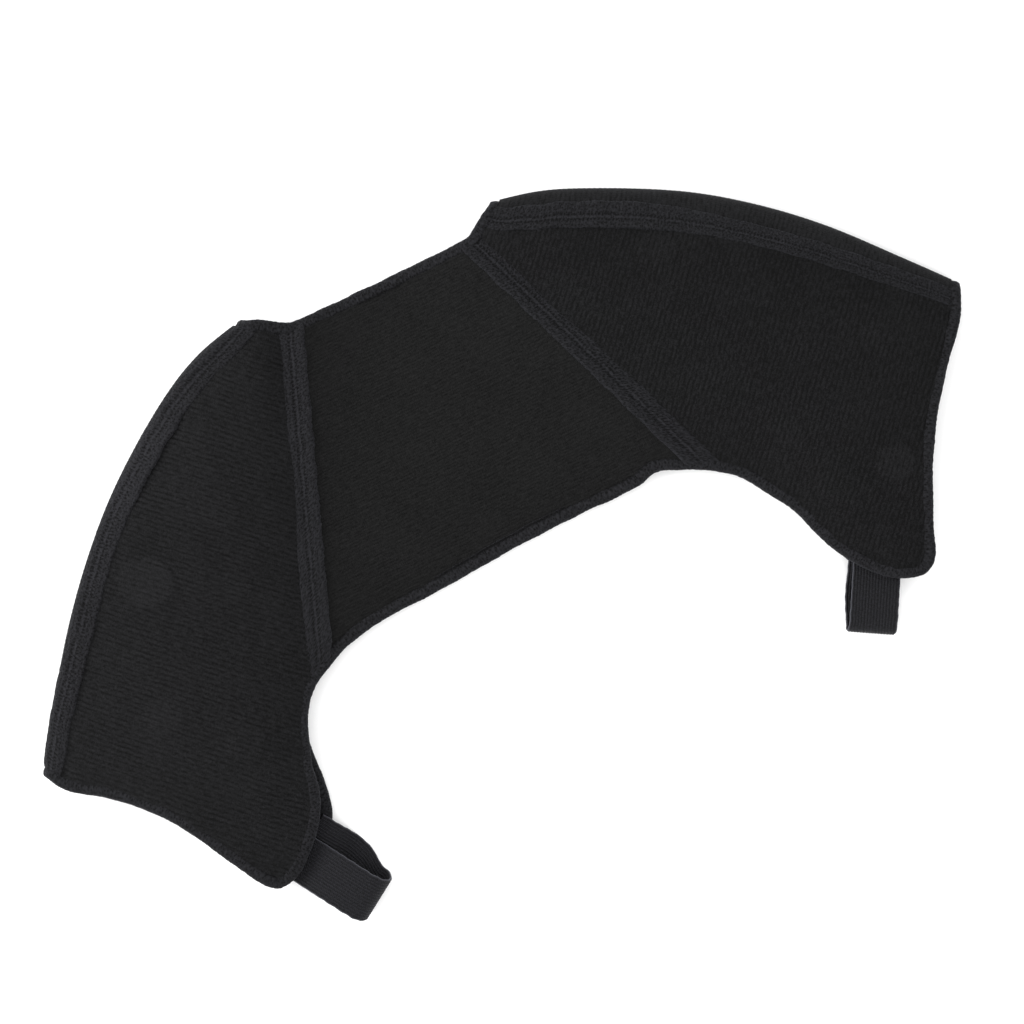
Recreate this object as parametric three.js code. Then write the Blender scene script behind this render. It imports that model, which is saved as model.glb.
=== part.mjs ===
// Shoulder support with two short sleeves, lying on its front flaps with its back face up.
// Millimetres. +X runs across the back, +Y towards the neck, +Z up from the surface it lies on.
import * as THREE from "three";

// Driving sizes of the cloth and its edges
const CLOTH = 3; // ribbed knit, padded
const GAP = 0.3; // clearance between two pieces that are sewn together
const TURN_GAP = 0.6; // and where a hem bends or turns round the shoulder fold
const HEM_WIDTH = 6.8;
const HEM_THICK = 5.4;
const BAND_WIDTH = 12; // flatlock band over a seam
const BAND_THICK = 4.2;
const WEBBING_WIDTH = 25;
const WEBBING_THICK = 1.5;
const WEBBING_TUCK = 8; // length of webbing sewn under or over a lobe's edge

// Driving sizes of the shape in which it lies
const FOLD_RADIUS_ENDS = 6; // middle of the cloth, where the shoulder fold meets the hems
const FOLD_RADIUS_MIDDLE = 8.5;
const FOLD_RISE = THREE.MathUtils.degToRad(13); // slope of the cloth where it leaves the fold
const SLEEVE_PUFF = 6;
const CUFF_ARCH = 5;
const SEAM_ARCH = 3.5;
const NECK_LIFT = 9.5; // middle of the cloth at the upper end of a back seam
const ROOT_LIFT = 9.5; // and at its lower end
const LOBE_SLACK = 1; // air between the two webbing ends at a lobe

// Driving sizes of the plan, each the mean of both sides: out from the middle, or down from the neck line
const NECK_OUT = 51.5; // upper end of a back seam
const CUFF_OUT = 270; // outer corner of a cuff
const CUFF_DROP = 144;
const LOBE_OUT = 187; // tip of the lobe under the arm
const LOBE_DROP = 262;
const ROOT_OUT = 114.5; // lower end of a back seam
const ROOT_DROP = 168.5;
const FRONT_LOBE_IN = 5; // how far the front lobe lies inside the back one
const FRONT_LOBE_UP = 5.5;
const LOOP_REACH = 36; // from the underarm edge to the loop's turn
const LOOP_LIFT = 13; // height of the near strand at the turn
const LOOP_SPREAD = 6; // how far the far strand leans out

// The two sides as they lie, each a little off the mean
const SIDES = {
  left: {
    sign: -1,
    neckOut: NECK_OUT + 0.5,
    slopeSpare: 7.6,
    slopeAngle: 31,
    cuffOut: CUFF_OUT - 1,
    cuffDown: CUFF_DROP + 12,
    lobeOut: LOBE_OUT - 3,
    lobeDown: LOBE_DROP + 1,
    rootOut: ROOT_OUT + 2.5,
    rootDown: ROOT_DROP + 4.5,
    frontLobeIn: FRONT_LOBE_IN,
    frontLobeUp: FRONT_LOBE_UP + 0.5,
    loopRoot: 0.79,
    loopReach: LOOP_REACH + 5,
    loopLift: LOOP_LIFT + 2,
    loopAim: -55,
    loopSpread: LOOP_SPREAD + 4,
  },
  right: {
    sign: 1,
    neckOut: NECK_OUT - 0.5,
    slopeSpare: 3.8,
    slopeAngle: 34,
    cuffOut: CUFF_OUT + 1,
    cuffDown: CUFF_DROP - 12,
    lobeOut: LOBE_OUT + 3,
    lobeDown: LOBE_DROP - 1,
    rootOut: ROOT_OUT - 2.5,
    rootDown: ROOT_DROP - 4.5,
    frontLobeIn: FRONT_LOBE_IN,
    frontLobeUp: FRONT_LOBE_UP - 0.5,
    loopRoot: 0.79,
    loopReach: LOOP_REACH - 5,
    loopLift: LOOP_LIFT - 2,
    loopAim: -121,
    loopSpread: LOOP_SPREAD - 4,
  },
};

// Edges as shares of the straight line between their two ends: how far along, and how far out
const SHOULDER_EDGE = [
  { along: 0.1, left: 0.05, right: 0.04 },
  { along: 0.2, left: 0.078, right: 0.063 },
  { along: 0.4, left: 0.1, right: 0.092 },
  { along: 0.55, left: 0.092, right: 0.092 },
  { along: 0.7, left: 0.073, right: 0.074 },
  { along: 0.87, left: 0.035, right: 0.033 },
];
const CUFF_EDGE = [
  { along: 0.1, left: -0.01, right: -0.014 },
  { along: 0.28, left: 0.037, right: 0.013 },
  { along: 0.42, left: 0.057, right: 0.029 },
  { along: 0.57, left: 0.055, right: 0.032 },
  { along: 0.73, left: 0.029, right: 0.018 },
  { along: 0.86, left: 0.005, right: -0.002 },
  { along: 0.95, left: -0.005, right: -0.016 },
];
const UNDERARM_EDGE = [
  { along: 0.11, left: -0.03, right: -0.025 },
  { along: 0.25, left: -0.009, right: -0.014 },
  { along: 0.4, left: 0.038, right: 0.01 },
  { along: 0.5, left: 0.09, right: 0.05 },
  { along: 0.62, left: 0.122, right: 0.095 },
  { along: 0.75, left: 0.116, right: 0.107 },
  { along: 0.86, left: 0.092, right: 0.092 },
  { along: 0.94, left: 0.058, right: 0.055 },
  { along: 0.98, left: 0.022, right: 0.018 },
];
const FRONT_EDGE = [
  { along: 0.036, left: 0.021, right: 0.019 },
  { along: 0.1, left: 0.026, right: 0.022 },
  { along: 0.25, left: 0.024, right: 0.02 },
  { along: 0.5, left: 0.034, right: 0.028 },
  { along: 0.65, left: 0.045, right: 0.036 },
  { along: 0.75, left: 0.06, right: 0.046 },
  { along: 0.84, left: 0.086, right: 0.06 },
  { along: 0.9, left: 0.096, right: 0.064 },
  { along: 0.945, left: 0.078, right: 0.049 },
  { along: 0.98, left: 0.04, right: 0.025 },
];
const LOWER_EDGE = [
  { along: 0.05, out: 0.022 },
  { along: 0.1, out: 0.038 },
  { along: 0.18, out: 0.049 },
  { along: 0.34, out: 0.049 },
  { along: 0.52, out: 0.054 },
  { along: 0.7, out: 0.052 },
  { along: 0.84, out: 0.046 },
  { along: 0.885, out: 0.056 },
  { along: 0.945, out: 0.031 },
];
// Where the shoulder band starts, past the fold's widest point, as a share of the band's width
const SHOULDER_BAND = [
  { along: 0, left: -0.1, right: 0.2 },
  { along: 0.22, left: -0.13, right: 0.67 },
  { along: 0.45, left: 0.17, right: 1.15 },
  { along: 0.62, left: 0.4, right: 1.35 },
  { along: 0.82, left: 0.2, right: 1.05 },
  { along: 1, left: 0.04, right: 0.45 },
];
const FRONT_CUFF_SET_IN = 0.04; // the front cuff lies this share further in than the back one
const SLOPE_BANDS = 1.5; // widths of band that the neck's slope holds, apart from its spare length
const UNDERARM_RISE = 2 / 3; // share of the underarm edge along which it rises to the lobe's height
const LOBE_CROWDING = 1.25; // power by which stations crowd towards a lobe's tip

// The elastic loop's way: shares of the reach to the turn, of the rise, and of the far strand's lean
const LOOP_CREST = { reach: 0.45, rise: 0.75 };
const LOOP_RETURN = { reach: 0.6, lean: 0.5 };
const LOOP_CLIMB_LEAN = 0.95;

// Sections of the swept pieces: across the strip as a share of its width, up as a share of its thickness
const HEM_SECTION = [
  { across: 1, up: -0.42 },
  { across: 0.8, up: -0.5 },
  { across: 0.3, up: -0.5 },
  { across: 0, up: -0.22 },
  { across: 0, up: 0.2 },
  { across: 0.3, up: 0.5 },
  { across: 0.8, up: 0.5 },
  { across: 1, up: 0.34 },
];
const BAND_SECTION = [
  ...[0, 0.13, 0.25, 0.38, 0.5, 0.62, 0.75, 0.87, 1].map((across) => ({ across, up: -0.4 })),
  { across: 1, up: 0.4 },
  { across: 0.88, up: 0.6 },
  { across: 0.74, up: 0.64 },
  { across: 0.6, up: 0.6 },
  { across: 0.5, up: 0.38 },
  { across: 0.4, up: 0.6 },
  { across: 0.26, up: 0.64 },
  { across: 0.12, up: 0.6 },
  { across: 0, up: 0.4 },
];
const WEBBING_SECTION = [
  { across: 0, up: -0.5 },
  { across: 1, up: -0.5 },
  { across: 1, up: 0.5 },
  { across: 0, up: 0.5 },
];

// Counts of segments
const SEAM_STEPS = 9;
const UNDERARM_STEPS = 11;
const CUFF_STEPS = 11;
const LOWER_STEPS = 16;
const FOLD_STEPS = 8;
const TURN_STEPS = 7;

const KNIT = new THREE.MeshStandardMaterial({ color: 0x1c1c20, roughness: 0.95, metalness: 0 });
const TRIM = new THREE.MeshStandardMaterial({ color: 0x232327, roughness: 0.95, metalness: 0 });
const ELASTIC = new THREE.MeshStandardMaterial({ color: 0x2b2b30, roughness: 0.8, metalness: 0 });

const UP = new THREE.Vector3(0, 0, 1);
const BEND_INSET = HEM_WIDTH + TURN_GAP; // from the outline to a piece that ends beside a hem's bend
const FLOOR_LIFT = CLOTH / 2; // middle of the cloth where it lies on the surface
const HEM_FLOOR_LIFT = HEM_THICK / 2;
const LOBE_LIFT = HEM_THICK * 1.5 + 2 * (WEBBING_THICK + GAP) + LOBE_SLACK;

const plan = (x, y) => new THREE.Vector3(x, y, 0);
const mix = (a, b, t) => a + (b - a) * t;
const between = (a, b, t) => new THREE.Vector3().lerpVectors(a, b, t);
const arch = (t) => 4 * t * (1 - t);
const shares = (n) => Array.from({ length: n + 1 }, (_, k) => k / n);
const ease = (t) => {
  const c = THREE.MathUtils.clamp(t, 0, 1);
  return c * c * (3 - 2 * c);
};
const turned = (v, angle) => v.clone().applyAxisAngle(UP, angle);

// A column of a table at a share, eased from row to row
function tableAt(rows, column, share) {
  const k = Math.max(1, rows.findIndex((row) => row.along >= share));
  const [a, b] = [rows[k - 1], rows[k]];
  return mix(a[column], b[column], ease((share - a.along) / (b.along - a.along)));
}

// A smooth edge from a to b, whose rows bulge to the side that turn gives: 1 left of the way, -1 right
function edgeCurve(a, b, rows, column, turn) {
  const chord = b.clone().sub(a);
  const out = turned(chord, (turn * Math.PI) / 2);
  const points = rows.map((row) =>
    a.clone().addScaledVector(chord, row.along).addScaledVector(out, row[column]),
  );
  const curve = new THREE.CatmullRomCurve3([a, ...points, b], false, "centripetal");
  curve.arcLengthDivisions = 400;
  return curve;
}

// Where the line from a in a direction crosses a row of points in plan, as a place along that row
function crossing(a, direction, row) {
  let best = null;
  for (let k = 0; k + 1 < row.length; k++) {
    const p = row[k];
    const e = row[k + 1].clone().sub(p);
    const det = direction.x * -e.y + direction.y * e.x;
    if (Math.abs(det) < 1e-9) continue;
    const d = p.clone().sub(a);
    const reach = (d.x * -e.y + d.y * e.x) / det;
    const share = (direction.x * d.y - direction.y * d.x) / det;
    const outside = Math.max(0, -share, share - 1);
    if (!best || outside < best.outside) best = { place: k + share, outside, reach };
  }
  const k = THREE.MathUtils.clamp(Math.floor(best.place), 0, row.length - 2);
  return { place: best.place, reach: best.reach, at: between(row[k], row[k + 1], best.place - k) };
}

// Evenly spaced points along a row of points
function resample(row, count) {
  const lengths = [0];
  for (let k = 1; k < row.length; k++) lengths.push(lengths[k - 1] + row[k].distanceTo(row[k - 1]));
  const total = lengths[lengths.length - 1];
  return shares(count).map((share) => {
    const target = share * total;
    let k = 1;
    while (k < row.length - 1 && lengths[k] < target) k++;
    const step = lengths[k] - lengths[k - 1] || 1;
    return between(row[k - 1], row[k], (target - lengths[k - 1]) / step);
  });
}

// A strip's place across its width and up through its thickness
const inside = (station, across, up) =>
  station.at.clone().addScaledVector(station.inward, across).addScaledVector(station.up, up);
const innerEdge = (stations, inset = HEM_WIDTH + GAP) => stations.map((s) => inside(s, inset, 0));

// Meshes
function meshFrom(name, material, positions, faces) {
  const geometry = new THREE.BufferGeometry();
  geometry.setAttribute(
    "position",
    new THREE.Float32BufferAttribute(positions.flatMap((p) => [p.x, p.y, p.z]), 3),
  );
  let volume = 0;
  for (const [a, b, c] of faces)
    volume += positions[a].dot(new THREE.Vector3().crossVectors(positions[b], positions[c]));
  geometry.setIndex(faces.flatMap(([a, b, c]) => (volume < 0 ? [a, c, b] : [a, b, c])));
  geometry.computeVertexNormals();
  const mesh = new THREE.Mesh(geometry, material);
  mesh.name = name;
  return mesh;
}

// A closed tube through rings of points. A section runs along its bottom and back over its top, point
// above point, and each end is closed between the two
function tubeMesh(name, material, rings) {
  const n = rings[0].length;
  const faces = [];
  for (let k = 0; k + 1 < rings.length; k++)
    for (let i = 0; i < n; i++) {
      const [a, b] = [k * n + i, k * n + ((i + 1) % n)];
      faces.push([a, b, b + n], [a, b + n, a + n]);
    }
  const last = (rings.length - 1) * n;
  for (let i = 0; i < n / 2 - 1; i++) {
    const [a, b, c, d] = [i, i + 1, n - 2 - i, n - 1 - i];
    faces.push([a, c, b], [a, d, c]);
    faces.push([last + a, last + b, last + c], [last + a, last + c, last + d]);
  }
  return meshFrom(name, material, rings.flat(), faces);
}

// A sheet between two grids of points, closed along its four edges
function sheetMesh(name, material, upper, lower) {
  const rows = upper.length;
  const columns = upper[0].length;
  const count = rows * columns;
  const faces = [];
  const at = (k, j) => k * columns + j;
  for (let k = 0; k + 1 < rows; k++)
    for (let j = 0; j + 1 < columns; j++) {
      const [a, b, c, d] = [at(k, j), at(k + 1, j), at(k + 1, j + 1), at(k, j + 1)];
      faces.push([a, b, c], [a, c, d]);
      faces.push([count + a, count + c, count + b], [count + a, count + d, count + c]);
    }
  const rim = [];
  for (let k = 0; k < rows - 1; k++) rim.push(at(k, 0));
  for (let j = 0; j < columns - 1; j++) rim.push(at(rows - 1, j));
  for (let k = rows - 1; k > 0; k--) rim.push(at(k, columns - 1));
  for (let j = columns - 1; j > 0; j--) rim.push(at(0, j));
  rim.forEach((a, i) => {
    const b = rim[(i + 1) % rim.length];
    faces.push([a, count + a, count + b], [a, count + b, b]);
  });
  return meshFrom(name, material, [...upper.flat(), ...lower.flat()], faces);
}

// A patch between four edges that share their corners: near and far run the same way, as do first and last
function patch(near, far, first, last) {
  const [n, m] = [near.length - 1, first.length - 1];
  return near.map((a, k) => {
    const s = k / n;
    return first.map((c, j) => {
      const t = j / m;
      const point = between(a, far[k], t).add(between(c, last[j], s));
      const corners = between(between(near[0], near[n], s), between(far[0], far[n], s), t);
      return point.sub(corners);
    });
  });
}

const thickened = (grid, rise) => grid.map((row) => row.map((p) => p.clone().addScaledVector(UP, rise)));
const clothMesh = (name, grid) =>
  sheetMesh(name, KNIT, thickened(grid, CLOTH / 2), thickened(grid, -CLOTH / 2));

function stripMesh(name, material, stations, section, width, thick) {
  const rings = stations.map((s) => section.map((p) => inside(s, p.across * width, p.up * thick)));
  return tubeMesh(name, material, rings);
}

// A hem rests on the surface where its cloth does, and stops half a gap before the next hem
function hemMesh(name, stations) {
  const raised = stations.map((s) => {
    const lift = Math.max(0, HEM_FLOOR_LIFT - s.at.z) * Math.abs(s.up.z);
    return { ...s, at: s.at.clone().addScaledVector(UP, lift) };
  });
  const trimmed = raised.map((s, k) => {
    if (k > 0 && k < raised.length - 1) return s;
    const next = raised[k ? k - 1 : 1];
    const inwards = next.at.clone().sub(s.at).setLength(GAP / 2);
    return { ...s, at: s.at.clone().add(inwards) };
  });
  return stripMesh(name, TRIM, trimmed, HEM_SECTION, HEM_WIDTH, HEM_THICK);
}

// Stations along a plan curve, inward to the left or right of the way, with a height for each share
function stationsOn(curve, places, turn, height, facing = 1) {
  return places.map((place) => {
    const at = curve.getPointAt(place);
    at.z = height(place);
    const inward = turned(curve.getTangentAt(place), (turn * Math.PI) / 2).normalize();
    return { at, inward, up: UP.clone().multiplyScalar(facing) };
  });
}

// All that belongs to one side, in plan with the middle at x = 0 and the neck line at y = 0
function sideFrame(key) {
  const side = SIDES[key];
  const turn = side.sign; // the cloth lies right of a way that leads outwards on the left side
  const spot = (out, up) => plan(side.sign * out, up);
  const neck = spot(side.neckOut, 0);
  const slope = THREE.MathUtils.degToRad(side.slopeAngle);
  const slopeLength = SLOPE_BANDS * BAND_WIDTH + side.slopeSpare;
  const top = spot(side.neckOut + slopeLength * Math.cos(slope), slopeLength * Math.sin(slope));
  const cuff = spot(side.cuffOut, -side.cuffDown);
  const lobe = spot(side.lobeOut, -side.lobeDown);
  const root = spot(side.rootOut, -side.rootDown);
  const frontLobe = spot(side.lobeOut - side.frontLobeIn, side.frontLobeUp - side.lobeDown);
  const shoulder = edgeCurve(top, cuff, SHOULDER_EDGE, key, turn);
  const cuffBack = edgeCurve(cuff, lobe, CUFF_EDGE, key, -turn);
  const underarm = edgeCurve(root, lobe, UNDERARM_EDGE, key, -turn);
  const setIn = CUFF_EDGE.map((row) => ({
    along: row.along,
    [key]: row[key] + FRONT_CUFF_SET_IN * arch(row.along),
  }));
  const cuffFront = edgeCurve(cuff, frontLobe, setIn, key, -turn);
  const front = edgeCurve(top, frontLobe, FRONT_EDGE, key, -turn);
  const bandPlace = (u, across) => BAND_WIDTH * (tableAt(SHOULDER_BAND, key, u) + across);
  const bandEnd = (u) => bandPlace(u, 1) + TURN_GAP;
  return {
    key, side, turn, neck, top, cuff, root,
    shoulder, cuffBack, underarm, cuffFront, front, bandPlace, bandEnd,
  };
}

// Section of the shoulder fold at a share u of the shoulder edge, s along the cloth from its widest point:
// s rises over the top and falls underneath
function foldSection(u, s) {
  const radius = mix(FOLD_RADIUS_ENDS, FOLD_RADIUS_MIDDLE, arch(u));
  const rise = FOLD_RISE * (1 - (2 * u - 1) ** 4);
  const lastAngle = Math.PI / 2 - rise;
  const topEnd = radius * lastAngle;
  const underEnd = (-radius * Math.PI) / 2;
  const angle = THREE.MathUtils.clamp(s / radius, -Math.PI / 2, lastAngle);
  const over = Math.max(0, s - topEnd);
  const under = Math.max(0, underEnd - s);
  const out = radius + CLOTH / 2 - radius * Math.cos(angle);
  const lean = mix(angle, Math.PI / 2, ease(over / (radius * rise + 1)));
  return {
    out: out + over * Math.cos(rise) + under,
    lift: FLOOR_LIFT + radius + radius * Math.sin(angle) + over * Math.sin(rise),
    lean,
    upperShare: THREE.MathUtils.clamp((s - underEnd) / (topEnd - underEnd), 0, 1),
    underEnd,
  };
}

// A point of the fold, with the direction that runs up through the cloth
function foldPoint(frame, u, s) {
  const section = foldSection(u, s);
  const edge = frame.shoulder.getPointAt(u);
  const square = turned(frame.shoulder.getTangentAt(u), (-frame.turn * Math.PI) / 2);
  const ends = (start, finish) =>
    square
      .clone()
      .multiplyScalar(1 - (1 - u) ** 6 - u ** 6)
      .addScaledVector(start, (1 - u) ** 6)
      .addScaledVector(finish, u ** 6)
      .normalize();
  const overWay = ends(frame.neckWay, frame.cuffBackWay);
  const underWay = ends(frame.frontWay, frame.cuffFrontWay);
  const way = between(underWay, overWay, section.upperShare).normalize();
  const at = edge.clone().addScaledVector(way, section.out);
  at.z = section.lift;
  const up = way
    .clone()
    .multiplyScalar(-Math.cos(section.lean))
    .addScaledVector(UP, Math.sin(section.lean))
    .normalize();
  return { at, up };
}

// Directions in which the edges leave the two ends of the fold, over it and under it
function addWays(frame) {
  const overReach = (u) => foldSection(u, frame.bandEnd(u)).out;
  const underReach = foldSection(0, foldSection(0, 0).underEnd).out;
  const startOf = (curve, from, reach) => {
    const share = reach / curve.getLength();
    return curve.getPointAt(share).sub(from).normalize();
  };
  frame.neckWay = frame.neck.clone().sub(frame.top).normalize();
  frame.cuffBackWay = startOf(frame.cuffBack, frame.cuff, overReach(1));
  frame.cuffFrontWay = startOf(frame.cuffFront, frame.cuff, underReach);
  frame.frontWay = startOf(frame.front, frame.top, underReach);
  frame.overReach = overReach;
  frame.underReach = underReach;
}

// Stations of a hem round the end of the fold: u is 0 at the neck and 1 at the cuff
function foldStations(frame, u, places) {
  const along = frame.shoulder.getTangentAt(u).multiplyScalar(u ? -1 : 1);
  const overWay = u ? frame.cuffBackWay : frame.neckWay;
  const underWay = u ? frame.cuffFrontWay : frame.frontWay;
  const squareTo = (way) => {
    const square = turned(way, Math.PI / 2);
    return square.dot(along) > 0 ? square : square.negate();
  };
  return places.map((s) => {
    const { at, up } = foldPoint(frame, u, s);
    const share = foldSection(u, s).upperShare;
    const inward = between(squareTo(underWay), squareTo(overWay), share).normalize();
    return { at, inward, up };
  });
}

// Heights of the cloth along the edges of the back
const lowerLift = (share) => mix(FLOOR_LIFT, ROOT_LIFT, (2 * share - 1) ** 2);
const neckLift = (share) => mix(FLOOR_LIFT, NECK_LIFT, (2 * share - 1) ** 2);
const seamLift = (share) => mix(NECK_LIFT, ROOT_LIFT, share) + SEAM_ARCH * arch(share);
const underarmLift = (share) => mix(ROOT_LIFT, LOBE_LIFT, ease(share / UNDERARM_RISE));
const lobeShares = (n) => shares(n).map((t) => 1 - (1 - t) ** LOBE_CROWDING);

// Two stations at one place take one direction inwards
function joinInward(a, b) {
  const inward = a.inward.clone().add(b.inward).normalize();
  a.inward.copy(inward);
  b.inward.copy(inward);
}

// Adds the stations of every hem that one side's edges need
function addEdges(frame) {
  addWays(frame);
  const { side, turn, bandEnd } = frame;
  const under0 = foldSection(0, 0).underEnd;
  const under1 = foldSection(1, 0).underEnd;
  const overSteps = shares(FOLD_STEPS);
  const round = (u, under) => foldStations(frame, u, overSteps.map((t) => mix(bandEnd(u), under, t)));

  // Back edge of the cuff, from the band to the lobe
  const cuffStart = frame.overReach(1) / frame.cuffBack.getLength();
  const bandLift = foldSection(1, bandEnd(1)).lift;
  frame.cuffTop = stationsOn(
    frame.cuffBack,
    lobeShares(CUFF_STEPS).map((t) => mix(cuffStart, 1, t)),
    -turn,
    (place) => {
      const t = (place - cuffStart) / (1 - cuffStart);
      return mix(bandLift, LOBE_LIFT, t) + CUFF_ARCH * arch(t);
    },
  );
  frame.cuffTurn = round(1, under1);
  frame.cuffTop[0] = frame.cuffTurn[0];
  const frontCuffStart = frame.underReach / frame.cuffFront.getLength();
  frame.cuffUnder = stationsOn(
    frame.cuffFront,
    lobeShares(CUFF_STEPS).map((t) => mix(frontCuffStart, 1, t)),
    -turn,
    () => FLOOR_LIFT,
    -1,
  );
  frame.cuffUnder[0] = frame.cuffTurn.at(-1);

  // Neck edge, from the middle line to the fold, and round it
  const neckReach = frame.top.distanceTo(frame.neck);
  const fromNeck = (out) => {
    const at = frame.top.clone().addScaledVector(frame.neckWay, out);
    const share = (out - frame.overReach(0)) / (neckReach - frame.overReach(0));
    at.z = mix(foldSection(0, bandEnd(0)).lift, NECK_LIFT, share);
    return at;
  };
  const square = turned(frame.neckWay, (turn * Math.PI) / 2);
  frame.neckSlope = shares(2).map((t) => ({
    at: fromNeck(mix(neckReach, frame.overReach(0), t)),
    inward: square.clone(),
    up: UP.clone(),
  }));
  frame.neckTurn = round(0, under0);
  frame.neckSlope[2] = frame.neckTurn[0];

  // Underarm edge, from the lower end of the seam to the lobe
  frame.underarmRun = stationsOn(frame.underarm, lobeShares(UNDERARM_STEPS), turn, underarmLift);

  joinInward(frame.underarmRun.at(-1), frame.cuffTop.at(-1));
  return frame;
}

// Stations of the front flap's free edge, one for each column of the flap and one at the fold
function addFrontEdge(frame, columns) {
  const start = frame.underReach / frame.front.getLength();
  const places = lobeShares(columns + 1).map((t) => mix(start, 1, t));
  frame.frontFree = stationsOn(frame.front, places, frame.turn, () => FLOOR_LIFT, -1);
  frame.frontFree[0] = frame.neckTurn.at(-1);
  joinInward(frame.frontFree.at(-1), frame.cuffUnder.at(-1));
}

const left = addEdges(sideFrame("left"));
const right = addEdges(sideFrame("right"));

// Edges that both sides share
const lowerCurve = edgeCurve(left.root, right.root, LOWER_EDGE, "out", 1);
const lowerRun = stationsOn(lowerCurve, shares(LOWER_STEPS), 1, lowerLift);
joinInward(lowerRun[0], left.underarmRun[0]);
joinInward(lowerRun.at(-1), right.underarmRun[0]);
const lowerStations = [...left.underarmRun.slice(1).reverse(), ...lowerRun, ...right.underarmRun.slice(1)];

const neckRun = shares(LOWER_STEPS).map((t) => {
  const at = between(left.neck, right.neck, t);
  at.z = neckLift(t);
  return { at, inward: plan(0, -1), up: UP.clone() };
});
joinInward(neckRun[0], left.neckSlope[0]);
joinInward(neckRun.at(-1), right.neckSlope[0]);
const neckSide = (frame) => [...frame.neckSlope.slice(1), ...frame.neckTurn.slice(1)];
const neckStations = [...neckSide(left).reverse(), ...neckRun, ...neckSide(right)];

const lowerInner = innerEdge(lowerStations);
const lowerBend = innerEdge(lowerStations, BEND_INSET);
const neckInner = innerEdge([left.neckSlope[1], ...neckRun, right.neckSlope[1]], BEND_INSET);

// A line beside a back seam, away from the middle by a distance, cut by the two hems
function seamLine(frame, away) {
  const way = frame.root.clone().sub(frame.neck).normalize();
  const outward = turned(way, (frame.turn * Math.PI) / 2);
  const start = frame.neck.clone().addScaledVector(outward, away);
  const from = crossing(start, way, neckInner);
  const to = crossing(start, way, lowerInner);
  to.at = crossing(start, way, lowerBend).at;
  const run = shares(SEAM_STEPS).map((t) => {
    const at = between(from.at, to.at, t);
    at.z = seamLift(t);
    return at;
  });
  return { run, from, to };
}

function backSeam(frame) {
  const rings = BAND_SECTION.map((p) => {
    const { run } = seamLine(frame, (p.across - 0.5) * BAND_WIDTH);
    return run.map((at) => at.clone().addScaledVector(UP, p.up * BAND_THICK));
  });
  const turnedRings = rings[0].map((_, k) => rings.map((line) => line[k]));
  return tubeMesh(`${frame.key}_back_seam`, TRIM, turnedRings);
}

// Points of a row between two places on it, without a point that crowds its end
function rowBetween(row, from, to) {
  const first = Math.ceil(Math.min(from.place, to.place));
  const last = Math.floor(Math.max(from.place, to.place));
  const inner = [];
  for (let k = Math.max(0, first); k <= Math.min(last, row.length - 1); k++) inner.push(row[k].clone());
  if (from.place > to.place) inner.reverse();
  const kept = inner.filter((p) => p.distanceTo(from.at) > CLOTH && p.distanceTo(to.at) > CLOTH);
  return [from.at.clone(), ...kept, to.at.clone()];
}

function centerPanel() {
  const away = -(BAND_WIDTH / 2 + GAP);
  const a = seamLine(left, away);
  const b = seamLine(right, away);
  const lower = rowBetween(lowerInner, a.to, b.to);
  const upper = resample([a.from.at, b.from.at], lower.length - 1);
  upper.forEach((p, k) => {
    p.z = mix(FLOOR_LIFT, NECK_LIFT, (2 * (k / (upper.length - 1)) - 1) ** 2);
  });
  lower[0].z = a.run.at(-1).z;
  lower.at(-1).z = b.run.at(-1).z;
  return clothMesh("center_back_panel", patch(a.run, b.run, upper, lower));
}

// The inner edge of a sleeve's back: beside the back seam, then along the underarm hem to the lobe
function sleeveInnerRun(frame) {
  const seam = seamLine(frame, BAND_WIDTH / 2 + GAP);
  const lobePlace = frame.side.sign < 0 ? 0 : lowerInner.length - 1;
  const underarm = rowBetween(lowerInner, seam.to, { place: lobePlace, at: lowerInner[lobePlace] });
  return [...seam.run, ...underarm.slice(1)];
}

// A place on the fold, set in from the hem at either end
function foldPlace(frame, u, s, rise) {
  if (u > 0 && u < 1) {
    const { at, up } = foldPoint(frame, u, s);
    return at.addScaledVector(up, rise);
  }
  return inside(foldStations(frame, u, [s])[0], BEND_INSET, rise);
}

function sleeveBack(frame, inner) {
  const outer = shares(inner.length - 1).map((u) => foldPlace(frame, u, frame.bandEnd(u), 0));
  const cuff = innerEdge(frame.cuffTop);
  cuff[0] = outer.at(-1).clone();
  const neck = resample([outer[0], inner[0]], cuff.length - 1);
  const grid = patch(outer, [...inner.slice(0, -1), cuff.at(-1).clone()], neck, cuff);
  grid.forEach((row, k) =>
    row.forEach((p, j) => {
      p.z += SLEEVE_PUFF * arch(j / (row.length - 1)) * Math.sqrt(arch(k / (grid.length - 1)));
    }),
  );
  return clothMesh(`${frame.key}_sleeve_back`, grid);
}

function shoulderSeam(frame, columns) {
  const rings = shares(columns).map((u) =>
    BAND_SECTION.map((p) => foldPlace(frame, u, frame.bandPlace(u, p.across), p.up * BAND_THICK)),
  );
  return tubeMesh(`${frame.key}_shoulder_seam`, TRIM, rings);
}

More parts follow.
